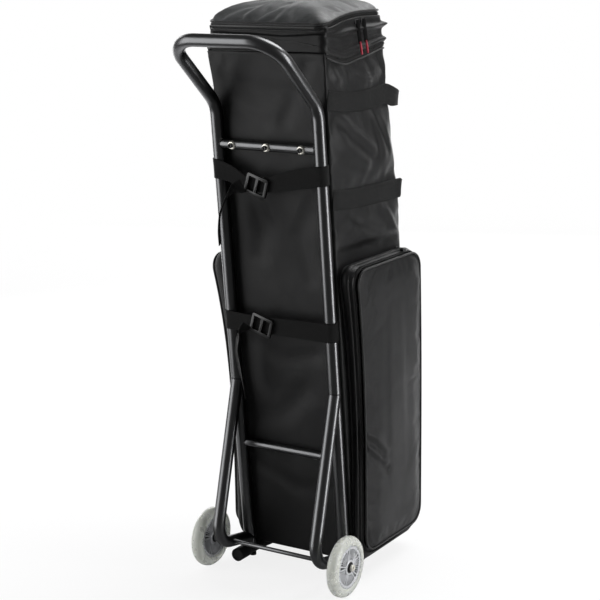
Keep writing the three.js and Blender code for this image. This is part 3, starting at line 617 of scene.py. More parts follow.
def addLegs():
    for name, sign in (("left", -1), ("right", 1)):
        knee, rising = legLine(sign)
        foot = Vector((knee.x, uprightY(leg["footZ"]), leg["footZ"]))
        top = Vector((knee.x, *leg["top"])) + rising * 0.02
        path = bentPath([top, knee, foot], [leg["bend"]])
        bm = tubeAlong(path, leg["radius"], (1, 0, 0))
        # cut off inside the upright, along its middle
        bmesh.ops.bisect_plane(
            bm, geom=bm.verts[:] + bm.edges[:] + bm.faces[:], plane_co=onMast(0, 0, 0.3),
            plane_no=mastTurn @ Vector((0, 1, 0)), clear_outer=True,
        )
        bmesh.ops.holes_fill(bm, edges=bm.edges[:], sides=0)
        finishPiece("leg_" + name, bm, [gunmetal], "cart", replaced=["leg_tube_" + name])


def addToeLoop():
    x, z = upright["halfSpacing"], toe["z"]
    half = [(toe["frontHalf"], toe["frontY"], z), (x, toe["waistY"], z), (x, toe["rearY"], z)]
    corners = [(-a, b, c) for a, b, c in reversed(half)] + half
    bends = [toe["waistBend"], toe["cornerBend"], toe["cornerBend"], toe["waistBend"]]
    bm = tubeAlong(bentPath(corners, bends), toe["radius"], (0, 0, 1))
    finishPiece("toe_loop_tube", bm, [blackSteel], "cart", replaced=["toe_loop"])


addMainTube()
addLegs()
addCrossbars()
addToeLoop()
print("frame tubes made")

# Soft goods


# Which step of rising levels a level is in, the step's span, and how far through the step it is
def stepOf(levels, level):
    k = 1
    while k < len(levels) - 1 and level > levels[k]:
        k += 1
    span = levels[k] - levels[k - 1]
    return k, span, min(1, max(0, (level - levels[k - 1]) / span))


def shareAt(levels, values, level):
    k, _, share = stepOf(levels, level)
    return values[k - 1] + (values[k] - values[k - 1]) * share


def eased(x):
    x = min(1, max(0, x))
    return x * x * (3 - 2 * x)


# A smooth line through points given at rising levels
def smoothAt(levels, values, level):
    k, span, share = stepOf(levels, level)
    slopes = []
    for i in (k - 1, k):
        a, b = max(i - 1, 0), min(i + 1, len(levels) - 1)
        slopes.append((values[b] - values[a]) / (levels[b] - levels[a]) * span)
    square, cube = share * share, share ** 3
    return (
        (2 * cube - 3 * square + 1) * values[k - 1] + (cube - 2 * square + share) * slopes[0]
        + (3 * square - 2 * cube) * values[k] + (cube - square) * slopes[1]
    )


def roundedSection(halfX, halfY, rearCorner, frontCorner, spacing, cornerSteps=4):
    corners = [
        (1, -1, rearCorner, -90), (1, 1, frontCorner, 0), (-1, 1, frontCorner, 90), (-1, -1, rearCorner, 180),
    ]
    arcs = []
    for signX, signY, radius, start in corners:
        x, y = signX * (halfX - radius), signY * (halfY - radius)
        angles = [math.radians(start + 90 * k / cornerSteps) for k in range(cornerSteps + 1)]
        arcs.append([(x + radius * math.cos(a), y + radius * math.sin(a)) for a in angles])
    points = []
    for arc, following in zip(arcs, arcs[1:] + arcs[:1]):
        points += arc
        (x0, y0), (x1, y1) = arc[-1], following[0]
        count = max(1, round(math.hypot(x1 - x0, y1 - y0) / spacing))
        points += [(x0 + (x1 - x0) * k / count, y0 + (y1 - y0) * k / count) for k in range(1, count)]
    return points


# Lays the cut map on by the way that each face looks, in metres
def boxMap(mesh):
    cut = mesh.uv_layers.get("cut") or mesh.uv_layers.new(name="cut")
    for polygon in mesh.polygons:
        x, y, z = (abs(c) for c in polygon.normal)
        for index in polygon.loop_indices:
            place = mesh.vertices[mesh.loops[index].vertex_index].co
            if z > x and z > y:
                cut.data[index].uv = (place.x, place.y)
            elif x > y:
                cut.data[index].uv = (place.y, place.z)
            else:
                cut.data[index].uv = (place.x, place.z)


# Lets cloth relax: it may grow and is blown up a little, then each point moves at most as far as cap
def relaxCloth(made, pinned, growth, pressure, frames, cap, stiffness=12.0, bending=0.6, allowed=None):
    mesh = made.data
    group = made.vertex_groups.new(name="pinned")
    group.add([k for k, held in enumerate(pinned) if held], 1.0, "REPLACE")
    cloth = made.modifiers.new("cloth", "CLOTH")
    settings = cloth.settings
    settings.quality = 6
    settings.mass = 0.2
    settings.tension_stiffness = settings.compression_stiffness = stiffness
    settings.shear_stiffness = stiffness * 0.6
    settings.bending_stiffness = bending
    settings.shrink_min = -growth
    settings.vertex_group_mass = "pinned"
    settings.effector_weights.gravity = 0
    if pressure:
        settings.use_pressure = True
        settings.uniform_pressure_force = pressure
    cloth.collision_settings.use_collision = False
    cloth.point_cache.frame_start = 1
    cloth.point_cache.frame_end = frames
    for frameNumber in range(1, frames + 1):
        scene.frame_set(frameNumber)
    settled = made.evaluated_get(bpy.context.evaluated_depsgraph_get())
    places = [v.co.copy() for v in settled.data.vertices]
    made.modifiers.remove(cloth)
    made.vertex_groups.remove(group)
    for vert, place in zip(mesh.vertices, places):
        move = place - vert.co
        if move.length > cap:
            move *= (cap + 0.15 * min(move.length - cap, 2 * cap)) / move.length
        if allowed:
            move = allowed(vert.co, move)
        vert.co += move
    mesh.update()
    scene.frame_set(1)


def distanceToLine(place, line):
    best = math.inf
    for (a0, a1), (b0, b1) in zip(line, line[1:]):
        dx, dy, px, py = b0 - a0, b1 - a1, place[0] - a0, place[1] - a1
        share = min(1, max(0, (px * dx + py * dy) / (dx * dx + dy * dy)))
        best = min(best, math.hypot(px - share * dx, py - share * dy))
    return best


# A lining that is the piece's own wall, and a finer mesh for the render
def finishSoft(made, wall=0):
    boxMap(made.data)
    if wall:
        lining = made.modifiers.new("wall", "SOLIDIFY")
        lining.thickness = wall
        lining.offset = -1
        lining.material_offset = 1
    smoothing = made.modifiers.new("smooth", "SUBSURF")
    smoothing.levels = smoothing.render_levels = 1


def remeshed(made, voxel):
    remesh = made.modifiers.new("even", "REMESH")
    remesh.mode = "VOXEL"
    remesh.voxel_size = voxel
    settled = made.evaluated_get(bpy.context.evaluated_depsgraph_get())
    even = bpy.data.meshes.new_from_object(settled)
    made.modifiers.remove(remesh)
    made.data = even
    even.shade_smooth()
    return even


# Bag body

bag = {
    "halfWidth": 0.131, "bottomZ": 0.0325, "rimZ": 1.084, "depth": 0.271, "rearCorner": 0.005,
    "frontCorner": 0.014, "wall": 0.007, "step": 0.009, "rearGap": 0.013, "flare": 0.008,
    # shares of the height and of the depth
    "levels": [0, 0.254, 0.445, 0.613, 0.715, 0.934, 1],
    "depths": [0.856, 0.945, 0.985, 1, 0.989, 0.878, 0.867],
    "sideFolds": [
        # line in y and z, width, height out of the side
        ([(-0.105, 1.072), (-0.096, 1.054), (-0.072, 1.024), (-0.061, 1.011)], 0.0075, -0.010),
        ([(-0.085, 1.070), (-0.070, 1.048), (-0.045, 1.024)], 0.011, 0.006),
        ([(-0.043, 0.965), (0.002, 0.930), (0.089, 0.881)], 0.010, 0.005),
        ([(-0.060, 0.940), (-0.020, 0.900), (0.060, 0.860)], 0.013, -0.005),
        ([(0.109, 0.949), (0.134, 0.916), (0.159, 0.873)], 0.010, 0.0045),
        ([(0.085, 0.950), (0.108, 0.915), (0.128, 0.870)], 0.012, -0.0045),
        ([(0.143, 0.748), (0.168, 0.715), (0.19, 0.690)], 0.009, 0.0045),
        ([(0.001, 0.744), (0.06, 0.714), (0.114, 0.690)], 0.013, 0.0035),
        ([(0.02, 0.765), (0.075, 0.738), (0.13, 0.725)], 0.011, -0.004),
        ([(-0.016, 1.066), (0.01, 1.036), (0.073, 1.015)], 0.012, -0.0045),
        ([(0.12, 1.066), (0.15, 1.035), (0.146, 1.015)], 0.010, 0.004),
        ([(-0.05, 0.865), (-0.01, 0.850), (0.03, 0.840)], 0.010, 0.003),
    ],
    "rearFolds": [
        # line in x and z, width, depth into the bag
        ([(-0.09, 1.03), (-0.03, 1.00), (0.04, 1.01)], 0.020, 0.003),
        ([(0.09, 1.06), (0.06, 1.00), (0.03, 0.95)], 0.016, 0.0035),
        ([(-0.10, 0.97), (-0.02, 0.94)], 0.018, 0.003),
        ([(-0.06, 0.80), (-0.03, 0.74), (-0.05, 0.68)], 0.020, 0.004),
        ([(0.08, 0.79), (0.05, 0.72), (0.07, 0.64)], 0.022, 0.003),
        ([(-0.08, 0.49), (0.0, 0.46), (0.07, 0.48)], 0.018, 0.003),
        ([(0.04, 0.40), (-0.02, 0.34), (-0.07, 0.33)], 0.022, 0.003),
        ([(-0.09, 0.22), (0.0, 0.18), (0.09, 0.19)], 0.020, 0.003),
    ],
}
bands = {
    "width": 0.040,
    "thickness": 0.002,
    # height of the middle of each band by how far forward it is
    "upper": {
        "y": [-0.09, -0.02, 0.046, 0.098, 0.142, 0.2],
        "z": [0.9965, 0.9872, 0.9835, 0.9855, 0.989, 0.980],
    },
    "lower": {
        "y": [-0.07, -0.02, 0.04, 0.12, 0.2, 0.23],
        "z": [0.8025, 0.7975, 0.7935, 0.7915, 0.7905, 0.789],
    },
    # the loose loop: share of the slack, share inwards and share of the width
    "loop": [
        (0.2, 0.0, 1.0), (0.42, 0.0, 0.9), (0.62, 0.015, 0.8), (0.8, 0.05, 0.72), (0.92, 0.11, 0.7),
        (0.985, 0.22, 0.7), (1.0, 0.42, 0.7),
    ],
}


def bagRear(z):
    return uprightY(z) + bag["rearGap"] / math.cos(upright["lean"])


def bagDepth(z):
    level = (z - bag["bottomZ"]) / (bag["rimZ"] - bag["bottomZ"])
    return bag["depth"] * smoothAt(bag["levels"], bag["depths"], level)


def bandZ(name, y):
    return smoothAt(bands[name]["y"], bands[name]["z"], y)


def foldedOut(folds, a, b, scatter=0.0):
    height = 0
    for line, width, rise in folds:
        away = distanceToLine((a, b), line) / width
        if away < 3:
            height += rise * math.exp(-away * away)
    return height + scatter * noise.noise(Vector((a * 9, b * 9, 3.7)))


# How far the zip on the sides has slumped below the rim
def slumped(x, y):
    places, falls = [-0.10, -0.06, -0.02, 0.03, 0.08, 0.12, 0.2], [0.002, 0.014, 0.022, 0.016, 0.009, 0.002, 0]
    return (1 if x > 0 else 0.3) * smoothAt(places, falls, y)


# 1 on the bag's sides, 0 a little inside them
def besideShare(x, width=0.1):
    return eased((abs(x) - bag["halfWidth"] * 0.9) / (bag["halfWidth"] * width))


# How far the left side leans out at the top: full at the rear, less towards the front
def flared(place, rear, share, half=bag["halfWidth"]):
    return bag["flare"] * share * eased(-place.x / half) * (1 - 0.6 * eased((place.y - rear) / 0.2))


# How free the cloth is at a place: still at the bands, the rim, the base and the sewn edges
def bagFreedom(place):
    fromBand = min(abs(place.z - bandZ(name, place.y)) for name in ("upper", "lower")) - bands["width"] / 2
    fromRim = bag["rimZ"] - 0.004 - slumped(place.x, place.y) - place.z
    return eased(min(fromBand, fromRim, place.z - bag["bottomZ"] - 0.01) / 0.022)


def shapeBag(verts):
    for vert in verts:
        place = vert.co
        rear = bagRear(place.z)
        ahead = eased((place.y - rear - 0.012) / 0.02)
        # the left side has the same folds, waved and shifted
        if place.x > 0:
            out = foldedOut(bag["sideFolds"], place.y, place.z, 0.003)
        else:
            waved = place.y + 0.02 * math.sin(place.z * 30)
            out = foldedOut(bag["sideFolds"], waved, place.z - 0.012, 0.004)
        push = out * bagFreedom(place) * besideShare(place.x, 0.09) * ahead
        behind = 1 - eased((place.y - rear) / 0.006)
        inward = max(0, foldedOut(bag["rearFolds"], place.x, place.z, 0.0025)) * behind
        place.x += math.copysign(push, place.x)
        place.y += inward
        if place.x < 0:
            place.x -= flared(place, rear, eased((place.z - 1.0) / 0.085))


def addBag():
    bm = bmesh.new()
    corners = bag["rearCorner"], bag["frontCorner"]
    section = roundedSection(bag["halfWidth"], bag["depth"] / 2, *corners, bag["step"])
    # height above the bottom and scale: a small rounding, then the straight part
    levels = [(0, 0.975), (0.002, 0.993), (0.006, 1)]
    rounding = levels[-1][0]
    straight = bag["rimZ"] - bag["bottomZ"] - rounding
    count = round(straight / bag["step"])
    levels += [(rounding + straight * k / count, 1) for k in range(1, count + 1)]
    stations = []
    for height, scale in levels:
        z = bag["bottomZ"] + height
        depth = bagDepth(z)
        shape = Matrix.Diagonal((scale, scale * depth / bag["depth"], 1, 1))
        stations.append(Matrix.Translation((0, bagRear(z) + depth / 2, z)) @ shape)
    sweep(bm, section, stations)
    bottom = [e for e in bm.edges if e.is_boundary and e.verts[0].co.z < 0.04]
    middle = stations[0].translation
    for scale in (0.8, 0.5, 0.3):
        made = bmesh.ops.extrude_edge_only(bm, edges=bottom)["geom"]
        verts = [g for g in made if isinstance(g, bmesh.types.BMVert)]
        bottom = [g for g in made if isinstance(g, bmesh.types.BMEdge) and g.is_boundary]
        bmesh.ops.scale(bm, vec=(scale, scale, 1), space=Matrix.Translation(-middle), verts=verts)
    bmesh.ops.edgeloop_fill(bm, edges=bottom)
    shapeBag(bm.verts)
    cloths = [nylonCloth, liningCloth]
    made = finishPiece("bag_shell", bm, cloths, "cart", None, ["bag_body"])

    def pinned(place):
        rear = bagRear(place.z)
        edge = place.y - rear < 0.004 and abs(place.x) > bag["halfWidth"] - 0.004
        return edge or bagFreedom(place) < 0.02

    def allowed(place, move):
        rear = bagRear(place.z)
        if place.y - rear < 0.012:
            move.y = max(0, move.y)
        if place.z < 0.70:
            move.x = abs(move.x) * (-0.2 if place.x > 0 else 0.2)
        return move

    held = [pinned(v.co) for v in made.data.vertices]
    relaxCloth(made, held, 0.012, 0.6, 24, 0.005, allowed=allowed)
    finishSoft(made, bag["wall"])
    return made


bagShell = addBag()
print("bag made")

# Piping, zips and stitches follow lines of points, with the way out of the cloth at each


def paintSecond(verts):
    for face in {face for vert in verts for face in vert.link_faces}:
        face.material_index = 1


def lineMatrices(points, outs, closed):
    matrices = []
    count = len(points)
    for k, point in enumerate(points):
        before = points[k - 1] if k or closed else point
        after = points[(k + 1) % count] if k + 1 < count or closed else point
        matrices.append(turnMatrix(point, (after - before).normalized(), outs[k]))
    if closed:
        matrices.append(matrices[0])
    return matrices


def evenLine(points, outs, step, closed):
    last = len(points) if closed else len(points) - 1
    runs = [(k, (k + 1) % len(points)) for k in range(last)]
    total = sum((points[b] - points[a]).length for a, b in runs)
    count = max(2, round(total / step))
    gap = total / count
    places, ways, walked, target = [], [], 0, 0
    for a, b in runs:
        length = (points[b] - points[a]).length
        while target <= walked + length + 1e-9 and len(places) < count + (0 if closed else 1):
            share = (target - walked) / length if length else 0
            places.append(points[a].lerp(points[b], share))
            ways.append(outs[a].lerp(outs[b], share).normalized())
            target += gap
        walked += length
    return places, ways


def addPiping(bm, points, outs, radius, closed=True, lift=0.0):
    moved = [p + o * lift for p, o in zip(points, outs)]
    sweep(bm, circleSection(radius, 8), lineMatrices(moved, outs, closed), caps=not closed)


# A zip: two rows of small teeth that meet in the middle of a strip of tape
def addZip(bm, points, outs, closed=True, tape=0.011, pitch=0.0023):
    tooth = Matrix.Diagonal((0.0011, 0.0022, 0.0011, 1))
    half = tape / 2
    flat = [(0.0, -half), (0.0004, -half * 0.3), (0.0004, half * 0.3), (0.0, half)]
    for face in sweep(bm, flat, lineMatrices(points, outs, closed), closed=False):
        face.material_index = 0
    places, ways = evenLine(points, outs, pitch / 2, closed)
    matrices = lineMatrices(places, ways, closed)[:len(places)]
    for k, station in enumerate(matrices):
        side = 0.0007 if k % 2 else -0.0007
        placed = station @ Matrix.Translation((0.001, side, 0)) @ tooth
        paintSecond(bmesh.ops.create_cube(bm, size=1, matrix=placed)["verts"])


def addStitches(bm, points, outs, pitch=0.0045, length=0.0028, size=0.0005):
    stitch = Matrix.Translation((size * 0.3, 0, 0)) @ Matrix.Diagonal((size, size, length, 1))
    for station in lineMatrices(*evenLine(points, outs, pitch, False), False):
        bmesh.ops.create_cube(bm, size=1, matrix=station @ stitch)


def finishTrim(name, bm, materials, body, smooth=50):
    if bm.verts.layers.float.get("around"):
        mapCut(bm)
    return finishPiece(name, bm, materials, body, smooth)


# A closed line round the bag at a height, level or tilted as the lid is
def ringLine(rear, depth, z, tilt, grow, rearCorner=0.012, frontCorner=0.014, flare=0):
    halfX, halfY = bag["halfWidth"] + grow, depth / 2 + grow
    section = roundedSection(halfX, halfY, rearCorner + grow, frontCorner + grow, 0.009)
    middle = rear + depth / 2
    points, outs = [], []
    count = len(section)
    for k, (x, y) in enumerate(section):
        ahead = Vector(section[(k + 1) % count]) - Vector(section[k - 1])
        place = Vector((x, middle + y, z + tilt * (middle + y - rear)))
        if x < 0:
            place.x -= flared(place, rear, flare, halfX)
        points.append(place)
        outs.append(Vector((ahead.y, -ahead.x, 0)).normalized())
    return points, outs


# Expansion collar

collar = {
    "rearHeight": 0.0454, "tilt": math.tan(math.radians(3.7)), "sideFold": 0.010, "frontFold": 0.020,
    "wall": 0.0025, "tuck": 0.0035, "gap": 0.0045, "gapStart": 0.68,
    # share of the height and share of the fold
    "rings": [
        (0, 0), (0.07, 0.05), (0.14, 0.25), (0.20, 0.50), (0.25, 0.66), (0.29, 0.60), (0.34, 0.30),
        (0.40, 0.06), (0.47, 0), (0.54, 0.12), (0.60, 0.35), (0.65, 0.62), (0.70, 0.88), (0.74, 1),
        (0.78, 0.75), (0.83, 0.22), (0.88, 0.02), (0.94, 0), (1, 0),
    ],
}
collarZ = bag["rimZ"] + 0.0003
lidZ = collarZ + collar["rearHeight"]
lidDepth = 0.221


def collarRing(share):
    z = collarZ + share * (collar["rearHeight"] - 0.0004)
    rear = bagRear(z)
    rimFront = bagRear(bag["rimZ"]) + bagDepth(bag["rimZ"])
    lidFront = bagRear(lidZ) + lidDepth
    front = rimFront + share * (lidFront - rimFront)
    return z, rear, front


# The side edges of the lid stand up in a bow from the rear corners on
def lidLift(place):
    places, lifts = [0, 0.03, 0.06, 0.11, 0.17, 0.221], [0, 0.003, 0.008, 0.011, 0.008, 0.003]
    return eased((abs(place.x) - 0.03) / 0.09) * smoothAt(places, lifts, place.y - bagRear(lidZ))


# Folds grow from the rear corner to the front, and the cloth tucks in between them and under the lid
def foldCollar(vert, fold, share):
    place = vert.co
    rear = bagRear(place.z)
    beside = besideShare(place.x) * eased((place.y - rear + 0.002) / 0.012)
    behind = 1 - eased((place.y - rear) / 0.008)
    growth = 0.25 + 0.75 * eased((place.y - rear - 0.02) / 0.13)
    still = eased(share / 0.08) * eased((1.02 - share) / 0.06)
    ripple = noise.noise(Vector((place.x * 22, place.y * 22, place.z * 55 + 4))) * 0.002 * still
    tucked = collar["tuck"] * (1 - fold) * eased(share / 0.1)
    place.x += math.copysign(beside * (fold * collar["sideFold"] * growth - tucked + ripple), place.x)
    place.y += behind * (collar["gap"] * eased((share - collar["gapStart"]) / 0.1) - ripple * 0.5)
    place.z -= beside * slumped(place.x, place.y) * (1 - eased(share * 1.25))
    place.z += 0.004 * still * noise.noise(Vector((place.x * 14, place.y * 14, 9.1)))
    place.z += 0.8 * lidLift(place) * eased((share - 0.76) / 0.2)
    if place.x < 0:
        place.x -= flared(place, rear, 1 - eased(share * 1.3))


def addCollar():
    bm = bmesh.new()
    base = bagDepth(bag["rimZ"])
    section = roundedSection(bag["halfWidth"], base / 2, 0.012, 0.014, 0.006)
    stations = []
    for share, fold in collar["rings"]:
        z, rear, front = collarRing(share)
        depth = front - rear + fold * collar["frontFold"]
        tilt = Matrix.Identity(4)
        tilt[2][1] = share * collar["tilt"]
        place = Matrix.Translation((0, rear + depth / 2, z + share * collar["tilt"] * depth / 2))
        stations.append(place @ tilt @ Matrix.Diagonal((1, depth / base, 1, 1)))
    sweep(bm, section, stations)
    for k, vert in enumerate(bm.verts):
        share, fold = collar["rings"][k // len(section)]
        foldCollar(vert, fold, share)
    cloths = [nylonCloth, liningCloth]
    made = finishPiece("collar_folds", bm, cloths, "cart", None, ["expansion_collar"])
    finishSoft(made, collar["wall"])


# The part of a closed line that a rule keeps, from its first point on
def partOf(points, outs, keep):
    kept = [keep(p) for p in points]
    count = len(points)
    start = next(k for k in range(count) if kept[k] and not kept[k - 1])
    order = []
    while len(order) < count and kept[(start + len(order)) % count]:
        order.append((start + len(order)) % count)
    return [points[k] for k in order], [outs[k] for k in order]


# A line on the bag round its sides and front, slumped with the zip
def sideLine(z, tilt, grow, share):
    rear, depth = bagRear(bag["rimZ"]), bagDepth(bag["rimZ"])
    points, outs = ringLine(rear, depth, z, tilt, grow, flare=eased((bag["rimZ"] - 1.0) / 0.085))
    points, outs = partOf(points, outs, lambda p: p.y > rear + 0.006)
    for point in points:
        point.z -= besideShare(point.x) * slumped(point.x, point.y) * share
    return points, outs


def addRimTrim():
    piping, chain = bmesh.new(), bmesh.new()
    lower = (bag["rimZ"] - 0.003, 0.0018, 0.0016, 1.0)
    upper = (bag["rimZ"] + 0.0105, 0.0014, -0.0006, 0.8)
    for z, radius, grow, share in (lower, upper):
        tilt = max(0, z - bag["rimZ"]) / collar["rearHeight"] * collar["tilt"]
        addPiping(piping, *sideLine(z, tilt, grow, share), radius, closed=False)
    addZip(chain, *sideLine(bag["rimZ"] + 0.004, 0.01, 0.0016, 0.95), closed=False)
    # at the rear a seam at the rim on the left, and one higher up that falls to the right corner
    rearSeams = (
        ([-0.125, -0.09, -0.05, -0.02], [1.0835, 1.084, 1.0846, 1.0848]),
        ([-0.115, -0.04, 0.03, 0.08, 0.12], [1.1100, 1.1100, 1.1065, 1.1020, 1.0960]),
    )
    count = 24
    for xs, zs in rearSeams:
        line = []
        for k in range(count + 1):
            x = xs[0] + (xs[-1] - xs[0]) * k / count
            z = smoothAt(xs, zs, x)
            line.append(Vector((x, bagRear(z) + 0.0004, z)))
        addPiping(piping, line, [Vector((0, -1, 0))] * len(line), 0.0013, closed=False)
    finishTrim("rim_piping", piping, [pipingCloth], "cart")
    finishTrim("expansion_zip", chain, [tapeCloth, zipTeeth], "cart", 30)


# Lid

lid = {
    "rimHeight": 0.008, "skirt": 0.005, "dome": 0.027, "corner": 0.018, "step": 0.008,
    # the crown: inset as a share of half the depth, and rise as a share of the dome
    "crown": [
        (0.02, 0.14), (0.05, 0.27), (0.10, 0.42), (0.16, 0.55), (0.25, 0.70), (0.36, 0.82), (0.48, 0.90),
        (0.62, 0.96), (0.75, 0.99), (0.86, 1),
    ],
}
lidFolds = [
    # line in x and y, width, rise
    ([(-0.125, -0.085), (-0.085, -0.035), (-0.06, 0.03)], 0.009, 0.0035),
    ([(-0.105, -0.088), (-0.055, -0.05), (-0.03, 0.0)], 0.009, -0.004),
    ([(-0.045, -0.088), (-0.025, -0.055), (-0.02, -0.01)], 0.007, 0.004),
    ([(-0.025, -0.088), (0.0, -0.06), (0.01, -0.02)], 0.009, -0.0035),
    ([(0.03, -0.09), (0.045, -0.055), (0.04, 0.0)], 0.010, 0.0025),
    ([(0.12, -0.06), (0.07, -0.01), (0.0, 0.03)], 0.018, -0.002),
    ([(0.115, 0.10), (0.07, 0.06), (0.0, 0.05)], 0.016, 0.002),
]


def addLid():
    rear = bagRear(lidZ)
    half = lidDepth / 2
    corner, tiltShare = lid["corner"], collar["tilt"]
    section = roundedSection(bag["halfWidth"], half, corner, corner, lid["step"])
    tilt = Matrix.Identity(4)
    tilt[2][1] = tiltShare
    base = Matrix.Translation((0, rear + half, lidZ + tiltShare * half)) @ tilt
    skirt, rim, width = lid["skirt"], lid["rimHeight"], bag["halfWidth"]
    levels = [(0.001, -skirt), (0, -skirt * 0.5), (0, rim * 0.5), (0, rim)]
    levels += [(inset * half, rim + rise * lid["dome"]) for inset, rise in lid["crown"]]
    stations = []
    for inset, height in levels:
        shape = Matrix.Diagonal(((width - inset) / width, (half - inset) / half, 1, 1))
        stations.append(base @ Matrix.Translation((0, 0, height)) @ shape)
    bm = bmesh.new()
    sweep(bm, section, stations, caps=True)
    made = finishPiece("lid_pad", bm, [litLidCloth], "lid", None, ["lid"])
    even = remeshed(made, 0.005)
    held = []
    for vert in even.vertices:
        place = vert.co
        lifted = place.z - lidZ - rim - tiltShare * (place.y - rear)
        held.append(lifted < 0.002)
        if lifted > 0.001:
            place.z += foldedOut(lidFolds, place.x, place.y, 0.0015) * eased(lifted / 0.008)
        place.z += lidLift(place) * (1 - eased(lifted / lid["dome"]) * 0.9)
    relaxCloth(made, held, 0.01, 2.0, 20, 0.004)
    finishSoft(made)

    piping, chain = bmesh.new(), bmesh.new()
    # piping at the rim and at the skirt, then the zip, which has no radius
    for height, grow, radius in ((rim, 0.0004, 0.0022), (-skirt, 0.0, 0.0015), (0.0012, 0.0002, 0)):
        points, outs = ringLine(rear, lidDepth, lidZ + height, tiltShare, grow, corner, corner)
        for point in points:
            point.z += lidLift(point)
        if radius:
            addPiping(piping, points, outs, radius)
        else:
            addZip(chain, points, outs, tape=0.007)
    finishTrim("lid_piping", piping, [pipingCloth], "lid")
    finishTrim("lid_zip", chain, [tapeCloth, zipTeeth], "lid", 30)


addCollar()
addRimTrim()
addLid()
print("collar and lid made")

# Side pockets

pocket = {
    "bottomWidth": 0.235, "topWidth": 0.257, "height": 0.604, "bottomZ": 0.057, "middleY": 0.129341,
    "topShift": 0.046, "corner": 0.034, "bottomDepth": 0.0237, "topDepth": 0.0362, "bulge": 0.010,
    "sag": 0.014, "back": 0.0005, "rim": 0.0065, "dome": 0.006, "wall": 0.003, "footRoom": 0.0018,
    # how far the tray's walls bulge, by shares of the depth
    "rings": [0, 0.25, 0.5, 0.75, 1], "bulges": [0.2, 0.85, 1, 0.6, 0],
}
pocketFolds = [
    # line in y and z, width, rise
    ([(0.008, 0.306), (0.040, 0.281), (0.066, 0.256)], 0.006, -0.0040),
    ([(0.014, 0.316), (0.050, 0.292), (0.080, 0.262)], 0.008, 0.0028),
    ([(0.016, 0.272), (0.048, 0.246), (0.088, 0.218)], 0.006, -0.0042),
    ([(0.012, 0.290), (0.046, 0.264), (0.080, 0.238)], 0.008, 0.0030),
    ([(0.205, 0.60), (0.215, 0.50), (0.220, 0.42)], 0.012, 0.0022),
    ([(0.02, 0.52), (0.03, 0.42), (0.03, 0.33)], 0.020, -0.0020),
    ([(0.06, 0.14), (0.12, 0.12), (0.19, 0.12)], 0.020, -0.0018),
]
trayFolds = [
    ([(-0.034, 0.355), (-0.010, 0.328), (0.022, 0.287)], 0.008, -0.004),
    ([(-0.042, 0.389), (-0.010, 0.366), (0.014, 0.342)], 0.008, 0.003),
]
# the edge of a cover: inset and share of the dome
coverCrown = [
    (0.002, 0.15), (0.006, 0.32), (0.012, 0.52), (0.020, 0.74), (0.030, 0.90), (0.042, 0.98),
    (0.058, 1), (0.08, 1),
]


def pocketBulge(share):
    return shareAt(pocket["rings"], pocket["bulges"], share)


# How much of its change to the top a pocket has made at a level, and where its front then is
def pocketFront(level, share=1):
    cube = max(0, min(1.1, level)) ** 3
    depth = pocket["bottomDepth"] + (pocket["topDepth"] - pocket["bottomDepth"]) * cube
    return cube, bag["halfWidth"] + pocket["back"] + share * depth


# Bends a point of a flat pocket to its place: across and up its outline, out by share and then metres
def pocketPlace(sign, across, up, share, out):
    level = up / pocket["height"] + 0.5
    cube, x = pocketFront(level, share)
    widen = 1 + cube * (pocket["topWidth"] / pocket["bottomWidth"] - 1)
    # the cover ends a little above the tray's foot, so that it clears the tray when it hangs open
    lift = (1 - level) * (pocket["footRoom"] if share == 1 else -pocketBulge(share) * pocket["sag"])
    return Vector((
        sign * (x + out),
        pocket["middleY"] + across * widen - cube * pocket["topShift"],
        pocket["bottomZ"] + up + pocket["height"] / 2 + lift,
    ))


def pocketOutline(grow):
    halfX, halfY = pocket["bottomWidth"] / 2 + grow, pocket["height"] / 2 + grow
    corner = max(pocket["corner"] + grow, 0.004)
    return roundedSection(halfX, halfY, corner, corner, 0.009, 8)


def pocketLine(sign, share, out, grow):
    points = [pocketPlace(sign, a, b, share, out) for a, b in pocketOutline(grow)]
    outs = []
    for k in range(len(points)):
        ahead = points[(k + 1) % len(points)] - points[k - 1]
        outs.append(ahead.cross(Vector((sign, 0, 0))).normalized())
    return points, outs


# A pocket's skin: rings of one outline, each with a share of the depth, a way out and its growth
def pocketSkin(sign, rings):
    bm = bmesh.new()
    sweep(bm, pocketOutline(0), [Matrix.Translation((0, 0, k)) for k in range(len(rings))])
    halfX, halfY = pocket["bottomWidth"] / 2, pocket["height"] / 2
    for vert in bm.verts:
        share, out, grow = rings[round(vert.co.z)]
        across = vert.co.x * (halfX + grow) / halfX
        up = vert.co.y * (halfY + grow) / halfY
        vert.co = pocketPlace(sign, across, up, share, out)
    return bm


def addPocketTray(name, sign):
    shares = [0, 0.08, 0.18, 0.28, 0.38, 0.48, 0.58, 0.68, 0.78, 0.88, 0.96, 0.995]
    bm = pocketSkin(sign, [(s, 0, pocketBulge(s) * pocket["bulge"]) for s in shares])
    middleZ = pocket["bottomZ"] + pocket["height"] / 2
    for vert in bm.verts:
        place = vert.co
        share = (abs(place.x) - bag["halfWidth"]) / pocket["topDepth"]
        still = eased(share * 4) * eased((0.8 - share) * 5)
        out = Vector((0, place.y - pocket["middleY"], (place.z - middleZ) * 0.4)).normalized()
        crease = noise.noise(Vector((place.x * 40, place.y * 16, place.z * 16)))
        place += out * still * (0.004 * crease - 0.001 + foldedOut(trayFolds, place.y, place.z))
    cloths, node = [nylonCloth, liningCloth], "pocket_tray_" + name
    made = finishPiece("pocket_gusset_" + name, bm, cloths, "cart", None, [node])
    finishSoft(made, pocket["wall"])


